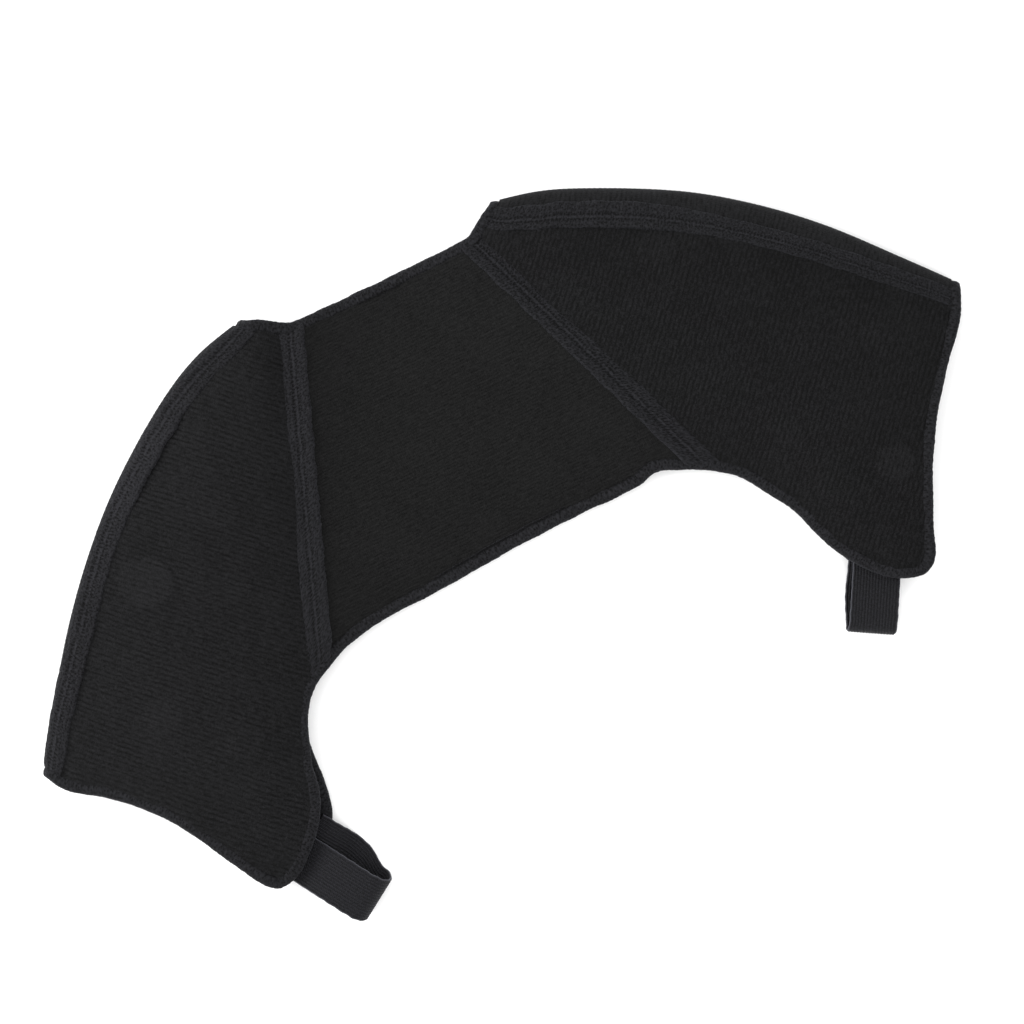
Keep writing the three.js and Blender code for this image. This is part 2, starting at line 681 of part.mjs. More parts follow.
function sleeveFront(frame, columns) {
  const inner = innerEdge(frame.frontFree).slice(1);
  const cuff = innerEdge(frame.cuffUnder);
  const wrap = (u, t, rise) => {
    const s = mix(frame.bandPlace(u, 0) - GAP, foldSection(u, 0).underEnd, t);
    return foldPlace(frame, u, s, rise);
  };
  const bottom = shares(columns).map((u) => wrap(u, 1, 0));
  cuff[0] = bottom.at(-1).clone();
  const neck = resample([bottom[0], inner[0]], cuff.length - 1);
  const floor = patch(bottom, inner, neck, cuff);
  const face = (rise) =>
    shares(columns).map((u, k) => [
      ...shares(TURN_STEPS).map((t) => wrap(u, t, rise)),
      ...floor[k].slice(1).map((p) => p.clone().addScaledVector(UP, -rise)),
    ]);
  return sheetMesh(`${frame.key}_sleeve_front`, KNIT, face(CLOTH / 2), face(-CLOTH / 2));
}

// Elastic webbing from under the back lobe's edge, round a turn and back over the front lobe's edge
function elasticLoop(frame) {
  const { side } = frame;
  const aim = turned(plan(1, 0), THREE.MathUtils.degToRad(side.loopAim));
  const across = turned(aim, Math.PI / 2);
  const root = frame.underarm.getPointAt(side.loopRoot);
  const shift = across.clone().multiplyScalar(side.loopSpread);
  const frontEdge = [...frame.frontFree, ...frame.cuffUnder.slice().reverse()].map((s) => s.at);
  const frontReach = crossing(root.clone().add(shift), aim, frontEdge).reach;
  const nearLift = LOBE_LIFT - HEM_THICK / 2 - GAP - WEBBING_THICK / 2;
  const farLift = HEM_THICK + GAP + WEBBING_THICK / 2;
  const low = WEBBING_THICK / 2;
  const radius = (side.loopLift - low) / 2;
  const turnAt = side.loopReach - radius;
  const way = [
    { reach: -WEBBING_TUCK, lift: nearLift, shift: 0 },
    { reach: 0, lift: nearLift, shift: 0 },
    { reach: turnAt * LOOP_CREST.reach, lift: mix(nearLift, side.loopLift, LOOP_CREST.rise), shift: 0 },
    ...shares(TURN_STEPS).map((t) => ({
      reach: turnAt + radius * Math.sin(Math.PI * t),
      lift: low + radius + radius * Math.cos(Math.PI * t),
      shift: 0,
    })),
    { reach: mix(turnAt, frontReach, LOOP_RETURN.reach), lift: low, shift: LOOP_RETURN.lean },
    { reach: frontReach + WEBBING_THICK, lift: farLift, shift: LOOP_CLIMB_LEAN },
    { reach: frontReach - WEBBING_TUCK, lift: farLift, shift: 1 },
  ];
  const points = way.map((p) => {
    const at = root.clone().addScaledVector(aim, p.reach).addScaledVector(shift, p.shift);
    at.z = p.lift;
    return at;
  });
  const stations = points.map((at, k) => {
    const before = points[Math.max(0, k - 1)];
    const after = points[Math.min(points.length - 1, k + 1)];
    const up = new THREE.Vector3().crossVectors(after.clone().sub(before), across).normalize();
    return { at: at.clone().addScaledVector(across, -WEBBING_WIDTH / 2), inward: across, up };
  });
  const name = `${frame.key}_elastic_loop`;
  return stripMesh(name, ELASTIC, stations, WEBBING_SECTION, WEBBING_WIDTH, WEBBING_THICK);
}

const part = new THREE.Group();
part.add(centerPanel(), hemMesh("neck_hem", neckStations), hemMesh("lower_hem", lowerStations));
for (const frame of [left, right]) {
  const inner = sleeveInnerRun(frame);
  const columns = inner.length - 1;
  addFrontEdge(frame, columns);
  part.add(sleeveBack(frame, inner), sleeveFront(frame, columns));
  part.add(backSeam(frame), shoulderSeam(frame, columns));
  const cuffRun = [...frame.cuffTop.slice(1).reverse(), ...frame.cuffTurn, ...frame.cuffUnder.slice(1)];
  part.add(hemMesh(`${frame.key}_cuff_hem`, cuffRun), hemMesh(`${frame.key}_front_hem`, frame.frontFree));
  part.add(elasticLoop(frame));
}

// The origin is on the surface, under the middle of the whole
const box = new THREE.Box3().setFromObject(part);
const middle = box.getCenter(new THREE.Vector3());
part.position.set(-middle.x, -middle.y, -box.min.z);
const group = new THREE.Group();
group.add(part);

export default group;
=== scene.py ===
"""Looks of a knitted shoulder support with two sleeves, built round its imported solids.

Lengths are millimetres until a mesh is made. Plan places count from the middle of the back and the
neck line, as in the part's source, and are moved to the frame at the end.
"""

import math

import bpy
import numpy as np
from bpy.props import FloatProperty, IntProperty, PointerProperty, StringProperty
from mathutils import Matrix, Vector


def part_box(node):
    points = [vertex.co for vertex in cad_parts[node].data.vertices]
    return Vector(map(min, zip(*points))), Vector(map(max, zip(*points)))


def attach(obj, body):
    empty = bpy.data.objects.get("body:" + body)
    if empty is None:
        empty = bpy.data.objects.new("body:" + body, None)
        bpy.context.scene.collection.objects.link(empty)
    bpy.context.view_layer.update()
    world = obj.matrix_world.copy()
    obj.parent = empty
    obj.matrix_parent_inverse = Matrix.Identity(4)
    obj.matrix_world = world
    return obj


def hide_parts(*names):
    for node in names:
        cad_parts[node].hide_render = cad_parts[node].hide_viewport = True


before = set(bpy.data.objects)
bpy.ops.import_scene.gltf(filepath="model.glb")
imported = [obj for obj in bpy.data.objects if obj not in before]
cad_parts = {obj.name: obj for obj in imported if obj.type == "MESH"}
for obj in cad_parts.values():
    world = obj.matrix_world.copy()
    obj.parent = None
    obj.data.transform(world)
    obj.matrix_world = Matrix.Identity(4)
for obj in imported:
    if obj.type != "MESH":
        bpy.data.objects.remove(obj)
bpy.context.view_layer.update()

bl_info = {
    "name": "Knitted shoulder support",
    "version": (1, 0, 0),
    "blender": (4, 5, 0),
    "location": "3D View > Sidebar > Support",
    "description": "Builds a knitted shoulder support with seam bands, hems and elastic loops",
    "category": "Object",
}

BODY = "root"
TO_METRES = 0.001

# Sizes of the solids that the looks follow
CLOTH = 3.0
HEM_THICK = 5.4
BAND_WIDTH = 12.0
BAND_THICK = 4.2
WEBBING_WIDTH = 25.0
WEBBING_THICK = 1.5
WEBBING_TUCK = 8.0
GAP = 0.3
FOLD_RADIUS_ENDS = 6.0
FOLD_RADIUS_MIDDLE = 8.5
FOLD_RISE = math.radians(13)
SLEEVE_PUFF = 6.0
CUFF_ARCH = 5.0
SEAM_ARCH = 3.5
NECK_LIFT = 9.5
ROOT_LIFT = 9.5
FLOOR_LIFT = CLOTH / 2
LOBE_LIFT = HEM_THICK * 1.5 + 2 * (WEBBING_THICK + GAP) + 1.0
SEAM_ROOM = 0.6  # between a band's inner edge and the panel beside it

# Sizes as they look, for the pieces that only the looks shape
HEM_LOOK = 7.7  # the hem's width with its stitch groove
BAND_LOOK_WIDTH = 14.4  # a back band's width with its loose edges
UNDER_HEM = 3.8  # how far in from the outline a panel ends, out of sight in the hem
BAND_END = 2.6  # and where a back band ends, sewn into the hem
UNDER_BAND = 1.4  # how far a panel runs under a seam band
SHOULDER_SPAN = (0.021, 0.981)  # the part of the shoulder edge between the neck hem and the cuff hem
SEWN_AT = 106.3  # the sewn rows' middle in an edge's across coordinate, clear of the hems' coordinates
ROW_OFF = 1.1  # from there to each row

# The places are across from the middle and up from the neck line. Angles are degrees, and the last two
# values of a side say how deep its ribs look and how much painted shade darkens its knit, as the light
# falls from the left.
SIDES = {
    "left": {
        "sign": -1, "neck_out": 52, "slope_spare": 7.6, "slope_angle": 31,
        "cuff": (269, -156), "lobe": (184, -263), "root": (117, -173), "front_lobe": (179, -257),
        "loop_root": 0.822, "loop_reach": 41.8, "loop_lift": 15, "loop_aim": -57.4, "loop_spread": 12.5,
        "rib_angle": -43.4, "rib_fan": -0.0001, "rib_depth": 1.0, "tint": 0.0,
    },
    "right": {
        "sign": 1, "neck_out": 51, "slope_spare": 3.8, "slope_angle": 34,
        "cuff": (271, -132), "lobe": (190, -261), "root": (112, -164), "front_lobe": (185, -256),
        "loop_root": 0.79, "loop_reach": 30.2, "loop_lift": 11, "loop_aim": -119.8, "loop_spread": -2.5,
        "rib_angle": 48.4, "rib_fan": -0.00005, "rib_depth": 0.4, "tint": -0.16,
    },
}

# Edges as shares of the line between their ends: along it, then out from it on the left and on the right
# side. The lower edge has one column.
SHOULDER_EDGE = (
    (0.1, 0.05, 0.04), (0.2, 0.077, 0.063), (0.4, 0.097, 0.09), (0.55, 0.092, 0.089),
    (0.7, 0.072, 0.071), (0.87, 0.034, 0.032),
)
CUFF_EDGE = (
    (0.1, -0.01, -0.014), (0.28, 0.037, 0.013), (0.42, 0.057, 0.029), (0.57, 0.055, 0.032),
    (0.73, 0.029, 0.018), (0.86, 0.005, -0.002), (0.95, -0.005, -0.016),
)
UNDERARM_EDGE = (
    (0.11, -0.03, -0.025), (0.25, -0.009, -0.014), (0.4, 0.038, 0.01), (0.5, 0.09, 0.05),
    (0.62, 0.119, 0.083), (0.75, 0.114, 0.096), (0.86, 0.092, 0.084), (0.94, 0.058, 0.051),
    (0.98, 0.022, 0.018),
)
FRONT_EDGE = (
    (0.036, 0.021, 0.019), (0.1, 0.026, 0.022), (0.25, 0.024, 0.02), (0.5, 0.034, 0.028),
    (0.65, 0.045, 0.036), (0.75, 0.06, 0.046), (0.84, 0.086, 0.06), (0.9, 0.096, 0.064),
    (0.945, 0.078, 0.049), (0.98, 0.04, 0.025),
)
LOWER_EDGE = (
    (0.05, 0.022), (0.1, 0.038), (0.18, 0.049), (0.34, 0.049), (0.52, 0.054), (0.7, 0.052),
    (0.84, 0.046), (0.885, 0.056), (0.945, 0.031),
)
# Where the shoulder band starts past the fold's widest point, as a share of the band's width
SHOULDER_BAND = (
    (0, -0.1, 0.2), (0.22, -0.13, 0.67), (0.45, 0.17, 1.15), (0.62, 0.4, 1.35),
    (0.82, 0.2, 1.05), (1, 0.04, 0.45),
)
FRONT_CUFF_SET_IN = 0.04

# The shoulder band as worn in: share of the shoulder edge, then where its outer and its inner edge lie,
# in millimetres of cloth from the fold's widest point
BAND_LOOK = {
    "left": (
        (0, 0, 14), (0.06, 4, 18.5), (0.13, 4.4, 19), (0.2, 3.6, 18), (0.3, 3.5, 17.8), (0.4, 3.7, 17.8),
        (0.5, 3.5, 17.5), (0.6, 3.8, 17.8), (0.69, 4.4, 18.2), (0.78, 3.2, 16.8), (0.87, 1.4, 14.8),
        (1, 0.6, 14),
    ),
    "right": (
        (0, 4, 17), (0.04, 9, 22.5), (0.1, 10.4, 25), (0.2, 10.3, 25.6), (0.29, 10.6, 25.7), (0.42, 13, 26.8),
        (0.52, 14.4, 26.6), (0.62, 14.2, 25.9), (0.72, 13, 24.6), (0.83, 10.6, 21.2), (0.92, 8.6, 18.2),
        (1, 7.4, 16.6),
    ),
}

# Flat round pads that show through the knit: x and y on the plan, radius, and how clearly each shows,
# in relief and in the painted light over it
PADS = (
    (-176, -90, 14.6, 1), (199, -202, 10.9, 1), (-126, -73, 10.4, 0.35),
    (-197, -156, 10.4, 0.5), (-165, -187, 10.4, 0.45), (-137, -112, 10.4, 0.25),
    (219, -138, 10.4, 0.3), (137, -49, 10.4, 0.25), (176, -72, 10.4, 0.25),
    (154, -167, 10.4, 0.3),
)


# Sizes and colours that a user may change
class KnitSettings(bpy.types.PropertyGroup):
    rib_spacing: FloatProperty(
        name="Rib spacing", description="Distance between two ribs of the sleeves", default=0.00262,
        min=0.001, max=0.01, precision=5, unit="LENGTH",
    )
    rib_height: FloatProperty(
        name="Rib height", description="Height of a sleeve's rib over its groove", default=0.0003,
        min=0, max=0.002, precision=5, unit="LENGTH",
    )
    fine_rib_spacing: FloatProperty(
        name="Fine rib spacing", description="Distance between two ribs of the back panel",
        default=0.00154, min=0.0005, max=0.01, precision=5, unit="LENGTH",
    )
    fine_rib_height: FloatProperty(
        name="Fine rib height", description="Height of a rib of the back panel", default=0.00018,
        min=0, max=0.002, precision=5, unit="LENGTH",
    )
    colour: StringProperty(name="Knit colour", description="sRGB colour of the sleeves", default="0F0F10")
    fine_colour: StringProperty(
        name="Back colour", description="sRGB colour of the back panel", default="0D0D0D",
    )


class EdgeSettings(bpy.types.PropertyGroup):
    loop_size: FloatProperty(
        name="Loop size", description="Size of the looped thread on hems and bands", default=0.0014,
        min=0.0005, max=0.01, precision=5, unit="LENGTH",
    )
    loop_height: FloatProperty(
        name="Loop height", description="How far the loops stand up", default=0.00014, min=0,
        max=0.002, precision=5, unit="LENGTH",
    )
    stitch_length: FloatProperty(
        name="Stitch length", description="Distance between two stitch holes", default=0.0019,
        min=0.001, max=0.01, precision=5, unit="LENGTH",
    )
    colour: StringProperty(name="Edge colour", description="sRGB colour of the edges", default="141416")


class WebbingSettings(bpy.types.PropertyGroup):
    rib_count: IntProperty(
        name="Rib count", description="Lengthwise ribs of the elastic", default=16, min=4, max=40,
    )
    rib_height: FloatProperty(
        name="Rib height", description="Height of a lengthwise rib", default=0.0002, min=0,
        max=0.001, precision=5, unit="LENGTH",
    )
    colour: StringProperty(
        name="Elastic colour", description="sRGB colour of the elastic", default="131316",
    )


class StageSettings(bpy.types.PropertyGroup):
    camera_height: FloatProperty(
        name="Camera elevation", description="Angle of the camera over the floor",
        default=math.radians(88), subtype="ANGLE",
    )
    camera_turn: FloatProperty(
        name="Camera turn", description="Turn of the camera about the upright axis",
        default=math.radians(-25.7), subtype="ANGLE",
    )
    view_width: FloatProperty(
        name="View width", description="Width of the picture at the object", default=0.5318,
        unit="LENGTH",
    )
    floor_colour: StringProperty(
        name="Floor colour", description="sRGB colour of the floor", default="F4F4F4",
    )


# Plain mathematics on arrays of points
def mix(a, b, t):
    return a + (b - a) * t


def arch(t):
    return 4 * t * (1 - t)


def ease(t):
    t = np.clip(t, 0, 1)
    return t * t * (3 - 2 * t)


def unit(v):
    return v / np.maximum(np.linalg.norm(v, axis=-1, keepdims=True), 1e-12)


def signed_power(v, power):
    return np.sign(v) * np.abs(v) ** power


def square_to(v, turn):
    """The plan direction a quarter turn to the left of v, or to its right where turn is -1."""
    return np.stack([-v[..., 1] * turn, v[..., 0] * turn, np.zeros(v.shape[:-1])], axis=-1)


def plan(x, y):
    return np.array([x, y, 0.0])


def smoothed(row, reach):
    """A row of vectors averaged over a few neighbours on each side."""
    padded = np.concatenate([np.repeat(row[:1], reach, 0), row, np.repeat(row[-1:], reach, 0)])
    weights = np.hanning(2 * reach + 3)[1:-1]
    weights /= weights.sum()
    columns = [np.convolve(padded[:, k], weights, mode="valid") for k in range(row.shape[1])]
    return np.stack(columns, axis=-1)


def ripple(points, wavelength, seed, count=14):
    """Smooth noise from -1 to 1 with about one wavelength, from a seeded sum of plane waves."""
    rng = np.random.default_rng(seed)
    total = np.zeros(points.shape[:-1])
    for _ in range(count):
        way = rng.normal(size=points.shape[-1])
        way *= 2 * math.pi / (wavelength * rng.uniform(0.7, 1.4)) / np.linalg.norm(way)
        total += np.cos(points @ way + rng.uniform(0, 2 * math.pi))
    return total / math.sqrt(count)


class Edge:
    """A smooth line through a row of points, measured by shares of its length."""

    def __init__(self, points):
        p = np.array(points, float)
        p = np.concatenate([[2 * p[0] - p[1]], p, [2 * p[-1] - p[-2]]])
        rows = []
        t = np.linspace(0, 1, 60, endpoint=False)[:, None]
        for a, b, c, d in zip(p, p[1:], p[2:], p[3:]):
            ab, bc, cd = (max(np.linalg.norm(v), 1e-6) ** 0.5 for v in (b - a, c - b, d - c))
            start = ((b - a) / ab - (c - a) / (ab + bc) + (c - b) / bc) * bc
            end = ((c - b) / bc - (d - b) / (bc + cd) + (d - c) / cd) * bc
            rows.append(
                b + start * t + (3 * (c - b) - 2 * start - end) * t**2 + (2 * (b - c) + start + end) * t**3
            )
        self.points = np.concatenate([*rows, [p[-2]]])
        steps = np.linalg.norm(np.diff(self.points, axis=0), axis=1)
        self.reach = np.concatenate([[0], np.cumsum(steps)])
        self.length = self.reach[-1]

    def at(self, share):
        target = np.asarray(share) * self.length
        return np.stack([np.interp(target, self.reach, self.points[:, k]) for k in range(3)], axis=-1)

    def way(self, share):
        step = 0.6 / self.length
        share = np.asarray(share, float)
        return unit(self.at(np.clip(share + step, 0, 1)) - self.at(np.clip(share - step, 0, 1)))

    def way_out(self, reach):
        """The direction from the start to the place that lies a reach along."""
        return unit(self.at(reach / self.length) - self.points[0])


def edge_between(a, b, rows, column, turn):
    chord = b - a
    out = square_to(chord, turn)
    return Edge([a, *(a + chord * row[0] + out * row[column] for row in rows), b])


def resampled(points, count):
    """The same row with evenly spaced points."""
    line = np.concatenate([[0], np.cumsum(np.linalg.norm(np.diff(points, axis=0), axis=1))])
    target = np.linspace(0, line[-1], count)
    return np.stack([np.interp(target, line, points[:, k]) for k in range(3)], axis=-1)


class Side:
    """The outlines of one half, in plan."""

    def __init__(self, key):
        s = SIDES[key]
        self.key = key
        self.data = s
        self.column = 1 if key == "left" else 2
        self.turn = s["sign"]

        def spot(out, along):
            return plan(s["sign"] * out, along)

        self.neck = spot(s["neck_out"], 0)
        slope = math.radians(s["slope_angle"])
        run = 1.5 * BAND_WIDTH + s["slope_spare"]
        self.top = spot(s["neck_out"] + run * math.cos(slope), run * math.sin(slope))
        self.cuff, self.lobe, self.root, self.front_lobe = (
            spot(*s[name]) for name in ("cuff", "lobe", "root", "front_lobe")
        )
        front_rows = [
            (along, *(out + FRONT_CUFF_SET_IN * arch(along) for out in outs)) for along, *outs in CUFF_EDGE
        ]
        c, turn = self.column, self.turn
        self.shoulder = edge_between(self.top, self.cuff, SHOULDER_EDGE, c, turn)
        self.cuff_back = edge_between(self.cuff, self.lobe, CUFF_EDGE, c, -turn)
        self.underarm = edge_between(self.root, self.lobe, UNDERARM_EDGE, c, -turn)
        self.cuff_front = edge_between(self.cuff, self.front_lobe, front_rows, c, -turn)
        self.front = edge_between(self.top, self.front_lobe, FRONT_EDGE, c, -turn)
        self.under_reach = float(self.section(0.0, self.section(0.0, 0.0)[4])[0])
        self.over_reach = [
            float(self.section(u, self.band_place(u, 1) + SEAM_ROOM)[0]) for u in (0.0, 1.0)
        ]
        self.neck_way = unit(self.neck - self.top)
        self.cuff_back_way = self.cuff_back.way_out(self.over_reach[1])
        self.cuff_front_way = self.cuff_front.way_out(self.under_reach)
        self.front_way = self.front.way_out(self.under_reach)

    def band_edge(self, u, across):
        """Where the band as it looks lies at a share across it, along the cloth from the widest point."""
        rows = np.array(BAND_LOOK[self.key])
        fine = np.linspace(0, 1, 201)
        edges = smoothed(np.stack([np.interp(fine, rows[:, 0], rows[:, k]) for k in (1, 2)], -1), 9)
        outer, inner = (np.interp(u, fine, edges[:, k]) for k in range(2))
        return mix(outer, inner, across)

    def band_place(self, u, across):
        rows = np.array(SHOULDER_BAND)
        u = np.asarray(u, float)
        k = np.clip(np.searchsorted(rows[:, 0], u), 1, len(rows) - 1)
        t = ease((u - rows[k - 1, 0]) / (rows[k, 0] - rows[k - 1, 0]))
        return BAND_WIDTH * (mix(rows[k - 1, self.column], rows[k, self.column], t) + across)

    def section(self, u, s):
        """The fold's section at share u, s along the cloth from the widest point, up over the top."""
        radius = mix(FOLD_RADIUS_ENDS, FOLD_RADIUS_MIDDLE, arch(u))
        rise = FOLD_RISE * (1 - (2 * u - 1) ** 4)
        last = math.pi / 2 - rise
        top_end, under_end = radius * last, -radius * math.pi / 2
        angle = np.clip(s / radius, -math.pi / 2, last)
        over = np.maximum(0, s - top_end)
        under = np.maximum(0, under_end - s)
        out = radius + CLOTH / 2 - radius * np.cos(angle) + over * np.cos(rise) + under
        lift = FLOOR_LIFT + radius + radius * np.sin(angle) + over * np.sin(rise)
        lean = mix(angle, math.pi / 2, ease(over / (radius * rise + 1)))
        share = np.clip((s - under_end) / (top_end - under_end), 0, 1)
        return out, lift, lean, share, under_end

    def fold(self, u, s, rise=0.0):
        """A place on the fold, with the direction up through the cloth."""
        u, s = np.broadcast_arrays(np.asarray(u, float), np.asarray(s, float))
        out, lift, lean, share, _ = self.section(u, s)
        edge = self.shoulder.at(u)
        square = square_to(self.shoulder.way(u), -self.turn)
        a, b = ((1 - u) ** 6)[..., None], (u**6)[..., None]
        over = unit(square * (1 - a - b) + self.neck_way * a + self.cuff_back_way * b)
        under = unit(square * (1 - a - b) + self.front_way * a + self.cuff_front_way * b)
        way = unit(mix(under, over, share[..., None]))
        up = unit(-way * np.cos(lean)[..., None] + np.array([0, 0, 1]) * np.sin(lean)[..., None])
        at = edge + way * out[..., None]
        at[..., 2] = lift
        return at + up * np.asarray(rise)[..., None], up

    def hem_turn(self, u, places):
        """Places of a hem round one end of the fold: u is 0 at the neck and 1 at the cuff."""
        along = self.shoulder.way(u) * (-1 if u else 1)
        over_way = self.cuff_back_way if u else self.neck_way
        under_way = self.cuff_front_way if u else self.front_way
        squares = []
        for way in (under_way, over_way):
            square = square_to(way, 1)
            squares.append(square if square @ along > 0 else -square)
        at, up = self.fold(np.full(len(places), float(u)), places)
        share = self.section(u, places)[3][:, None]
        return at, unit(mix(squares[0], squares[1], share)), up


SIDE = {key: Side(key) for key in SIDES}


def lower_lift(t):
    return mix(FLOOR_LIFT, ROOT_LIFT, (2 * t - 1) ** 2)


def neck_lift(t):
    return mix(FLOOR_LIFT, NECK_LIFT, (2 * t - 1) ** 2)


def underarm_lift(t):
    return mix(ROOT_LIFT, LOBE_LIFT, ease(t * 1.5))


def run_on(curve, places, turn, lift, facing=1):
    """Places along a plan curve with the direction inwards and the direction up through the cloth."""
    at = curve.at(places)
    at[:, 2] = lift
    inward = square_to(curve.way(places), turn)
    return at, inward, np.tile([0, 0, facing], (len(places), 1)).astype(float)


def joined(*runs):
    """Several runs end to end as one, with its directions eased across the joints."""
    at, inward, up = (np.concatenate([run[k] for run in runs]) for k in range(3))
    step = np.linalg.norm(np.diff(at, axis=0), axis=1)
    line = np.concatenate([[0], np.cumsum(step)])
    target = np.arange(0, line[-1], 0.8)
    rows = [
        np.stack([np.interp(target, line, v[:, k]) for k in range(3)], axis=-1) for v in (at, inward, up)
    ]
    at = smoothed(rows[0], 4)
    at[0], at[-1] = rows[0][0], rows[0][-1]
    return at, unit(smoothed(rows[1], 9)), unit(smoothed(rows[2], 5))


def round_tip(first, second, reach=10):
    """Rounds the corner where the first run ends and the second one starts, and parts them again there."""
    n = len(first[0])
    rows = [np.concatenate([first[k], second[k][1:]]) for k in range(3)]
    near = ease(1 - np.abs(np.arange(len(rows[0])) - n + 1) / (2.2 * reach))[:, None]
    at = mix(rows[0], smoothed(rows[0], reach), near)
    inward, up = (unit(mix(row, smoothed(row, reach), near)) for row in rows[1:])
    return (at[:n], inward[:n], up[:n]), (at[n - 1 :], inward[n - 1 :], up[n - 1 :])


def back(run):
    return tuple(v[::-1] for v in run)


def cuff_top(side, places=np.linspace(0, 1, 120)):
    start = side.over_reach[1] / side.cuff_back.length
    fold_lift = side.section(1.0, side.band_place(1.0, 1) + SEAM_ROOM)[1]
    lift = mix(fold_lift, LOBE_LIFT, places) + CUFF_ARCH * arch(places)
    return run_on(side.cuff_back, mix(start, 1, places), -side.turn, lift)


def cuff_under(side, places=np.linspace(0, 1, 120)):
    start = side.under_reach / side.cuff_front.length
    return run_on(side.cuff_front, mix(start, 1, places), -side.turn, FLOOR_LIFT, -1)


def front_free(side, places=np.linspace(0, 1, 240)):
    start = side.under_reach / side.front.length
    return run_on(side.front, mix(start, 1, places), side.turn, FLOOR_LIFT, -1)


def fold_places(side, u):
    return np.linspace(float(side.band_place(u, 1)) + SEAM_ROOM, float(side.section(u, 0.0)[4]), 40)


def neck_slope(side):
    reach = np.linalg.norm(side.top - side.neck)
    out = np.linspace(reach, side.over_reach[0], 30)
    at = side.top + side.neck_way * out[:, None]
    share = (out - side.over_reach[0]) / (reach - side.over_reach[0])
    at[:, 2] = mix(side.section(0.0, side.band_place(0.0, 1) + SEAM_ROOM)[1], NECK_LIFT, share)
    inward = np.tile(square_to(side.neck_way, side.turn), (len(out), 1))
    return at, inward, np.tile([0.0, 0, 1], (len(out), 1))


def underarm_run(side, places=np.linspace(0, 1, 160)):
    return run_on(side.underarm, places, side.turn, underarm_lift(places))


LOWER = edge_between(SIDE["left"].root, SIDE["right"].root, LOWER_EDGE, 1, 1)
EVEN = np.linspace(0, 1, 260)
LOWER_RUN = joined(
    back(underarm_run(SIDE["left"])), run_on(LOWER, EVEN, 1, lower_lift(EVEN)), underarm_run(SIDE["right"])
)
NECK_AT = mix(SIDE["left"].neck, SIDE["right"].neck, EVEN[:, None])
NECK_AT[:, 2] = neck_lift(EVEN)
NECK_MIDDLE = (NECK_AT, np.tile([0.0, -1, 0], (260, 1)), np.tile([0.0, 0, 1], (260, 1)))
NECK_RUN = joined(
    back(SIDE["left"].hem_turn(0, fold_places(SIDE["left"], 0))), back(neck_slope(SIDE["left"])), NECK_MIDDLE,
    neck_slope(SIDE["right"]), SIDE["right"].hem_turn(0, fold_places(SIDE["right"], 0)),
)


def set_in(run, inset):
    at, inward, _ = run
    return at + inward * inset


def cut(row, a, way):
    """Where the line from a along way meets a row of points: the place on the row and the point."""
    d = row - a
    off = d[:, 0] * way[1] - d[:, 1] * way[0]
    k = np.nonzero(off[:-1] * off[1:] <= 0)[0]
    k = k[len(k) // 2]
    t = off[k] / (off[k] - off[k + 1])
    return k + t, mix(row[k], row[k + 1], t)


def seam_line(side, away, inset, count=80):
    """A line beside a back seam, away from the middle of the back, between the two hems."""
    way = unit(side.root - side.neck)
    start = side.neck + square_to(way, side.turn) * away
    neck_row, lower_row = set_in(NECK_RUN, inset), set_in(LOWER_RUN, inset)
    _, top = cut(neck_row, start, way)
    place, foot = cut(lower_row, start, way)
    t = np.linspace(0, 1, count)
    line = mix(top, foot, t[:, None])
    line[:, 2] = mix(NECK_LIFT, ROOT_LIFT, t) + SEAM_ARCH * arch(t)
    return line, place


def coons(near, far, first, last):
    """A surface between four rows that share their corners."""
    s = np.linspace(0, 1, len(near))[:, None, None]
    t = np.linspace(0, 1, len(first))[None, :, None]
    sides = mix(near[:, None], far[:, None], t) + mix(first[None], last[None], s)
    corners = mix(mix(near[0], near[-1], s), mix(far[0], far[-1], s), t)
    return sides - corners


def stretched(row, value, targets):
    """The points of a row where a value that only grows along it meets the targets."""
    order = np.maximum.accumulate(value)
    order = order + np.linspace(0, 1e-6, len(order))
    return np.stack([np.interp(targets, order, row[:, k]) for k in range(3)], axis=-1)


# Meshes
def normals_of(grid):
    along = np.gradient(grid, axis=0)
    across = np.gradient(grid, axis=1)
    return unit(np.cross(along, across))


def grid_faces(rows, columns, start=0, loop=False):
    k = np.arange(rows - 1)[:, None]
    j = np.arange(columns if loop else columns - 1)[None]
    a = start + k * columns + j
    b = start + k * columns + (j + 1) % columns
    return np.stack([a, b, b + columns, a + columns], axis=-1).reshape(-1, 4)


def mesh_piece(name, points, faces, cloth, tint, material, node):
    """A piece from points in millimetres, with cloth coordinates in millimetres and a tint for each point."""
    a, b, c, d = (points[faces[:, k]] for k in range(4))
    if np.sum(np.cross(c - a, d - b) * (a + b + c + d)) < 0:
        faces = faces[:, ::-1]
    mesh = bpy.data.meshes.new(name)
    mesh.vertices.add(len(points))
    mesh.vertices.foreach_set("co", ((points + SHIFT) * TO_METRES).astype(np.float32).ravel())
    quads = np.ascontiguousarray(faces)
    mesh.loops.add(quads.size)
    mesh.loops.foreach_set("vertex_index", quads.ravel())
    mesh.polygons.add(len(quads))
    mesh.polygons.foreach_set("loop_start", np.arange(0, quads.size, 4))
    mesh.polygons.foreach_set("use_smooth", np.ones(len(quads), bool))
    mesh.update(calc_edges=True)
    layer = mesh.uv_layers.new(name="cloth")
    layer.data.foreach_set("uv", cloth[quads.ravel()].astype(np.float32).ravel())
    attribute = mesh.attributes.new("tint", "FLOAT", "POINT")
    attribute.data.foreach_set("value", np.asarray(tint, np.float32))
    mesh.validate()
    mesh.materials.append(material)
    piece = bpy.data.objects.new(name, mesh)
    bpy.context.collection.objects.link(piece)
    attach(piece, BODY)
    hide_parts(node)
    return piece


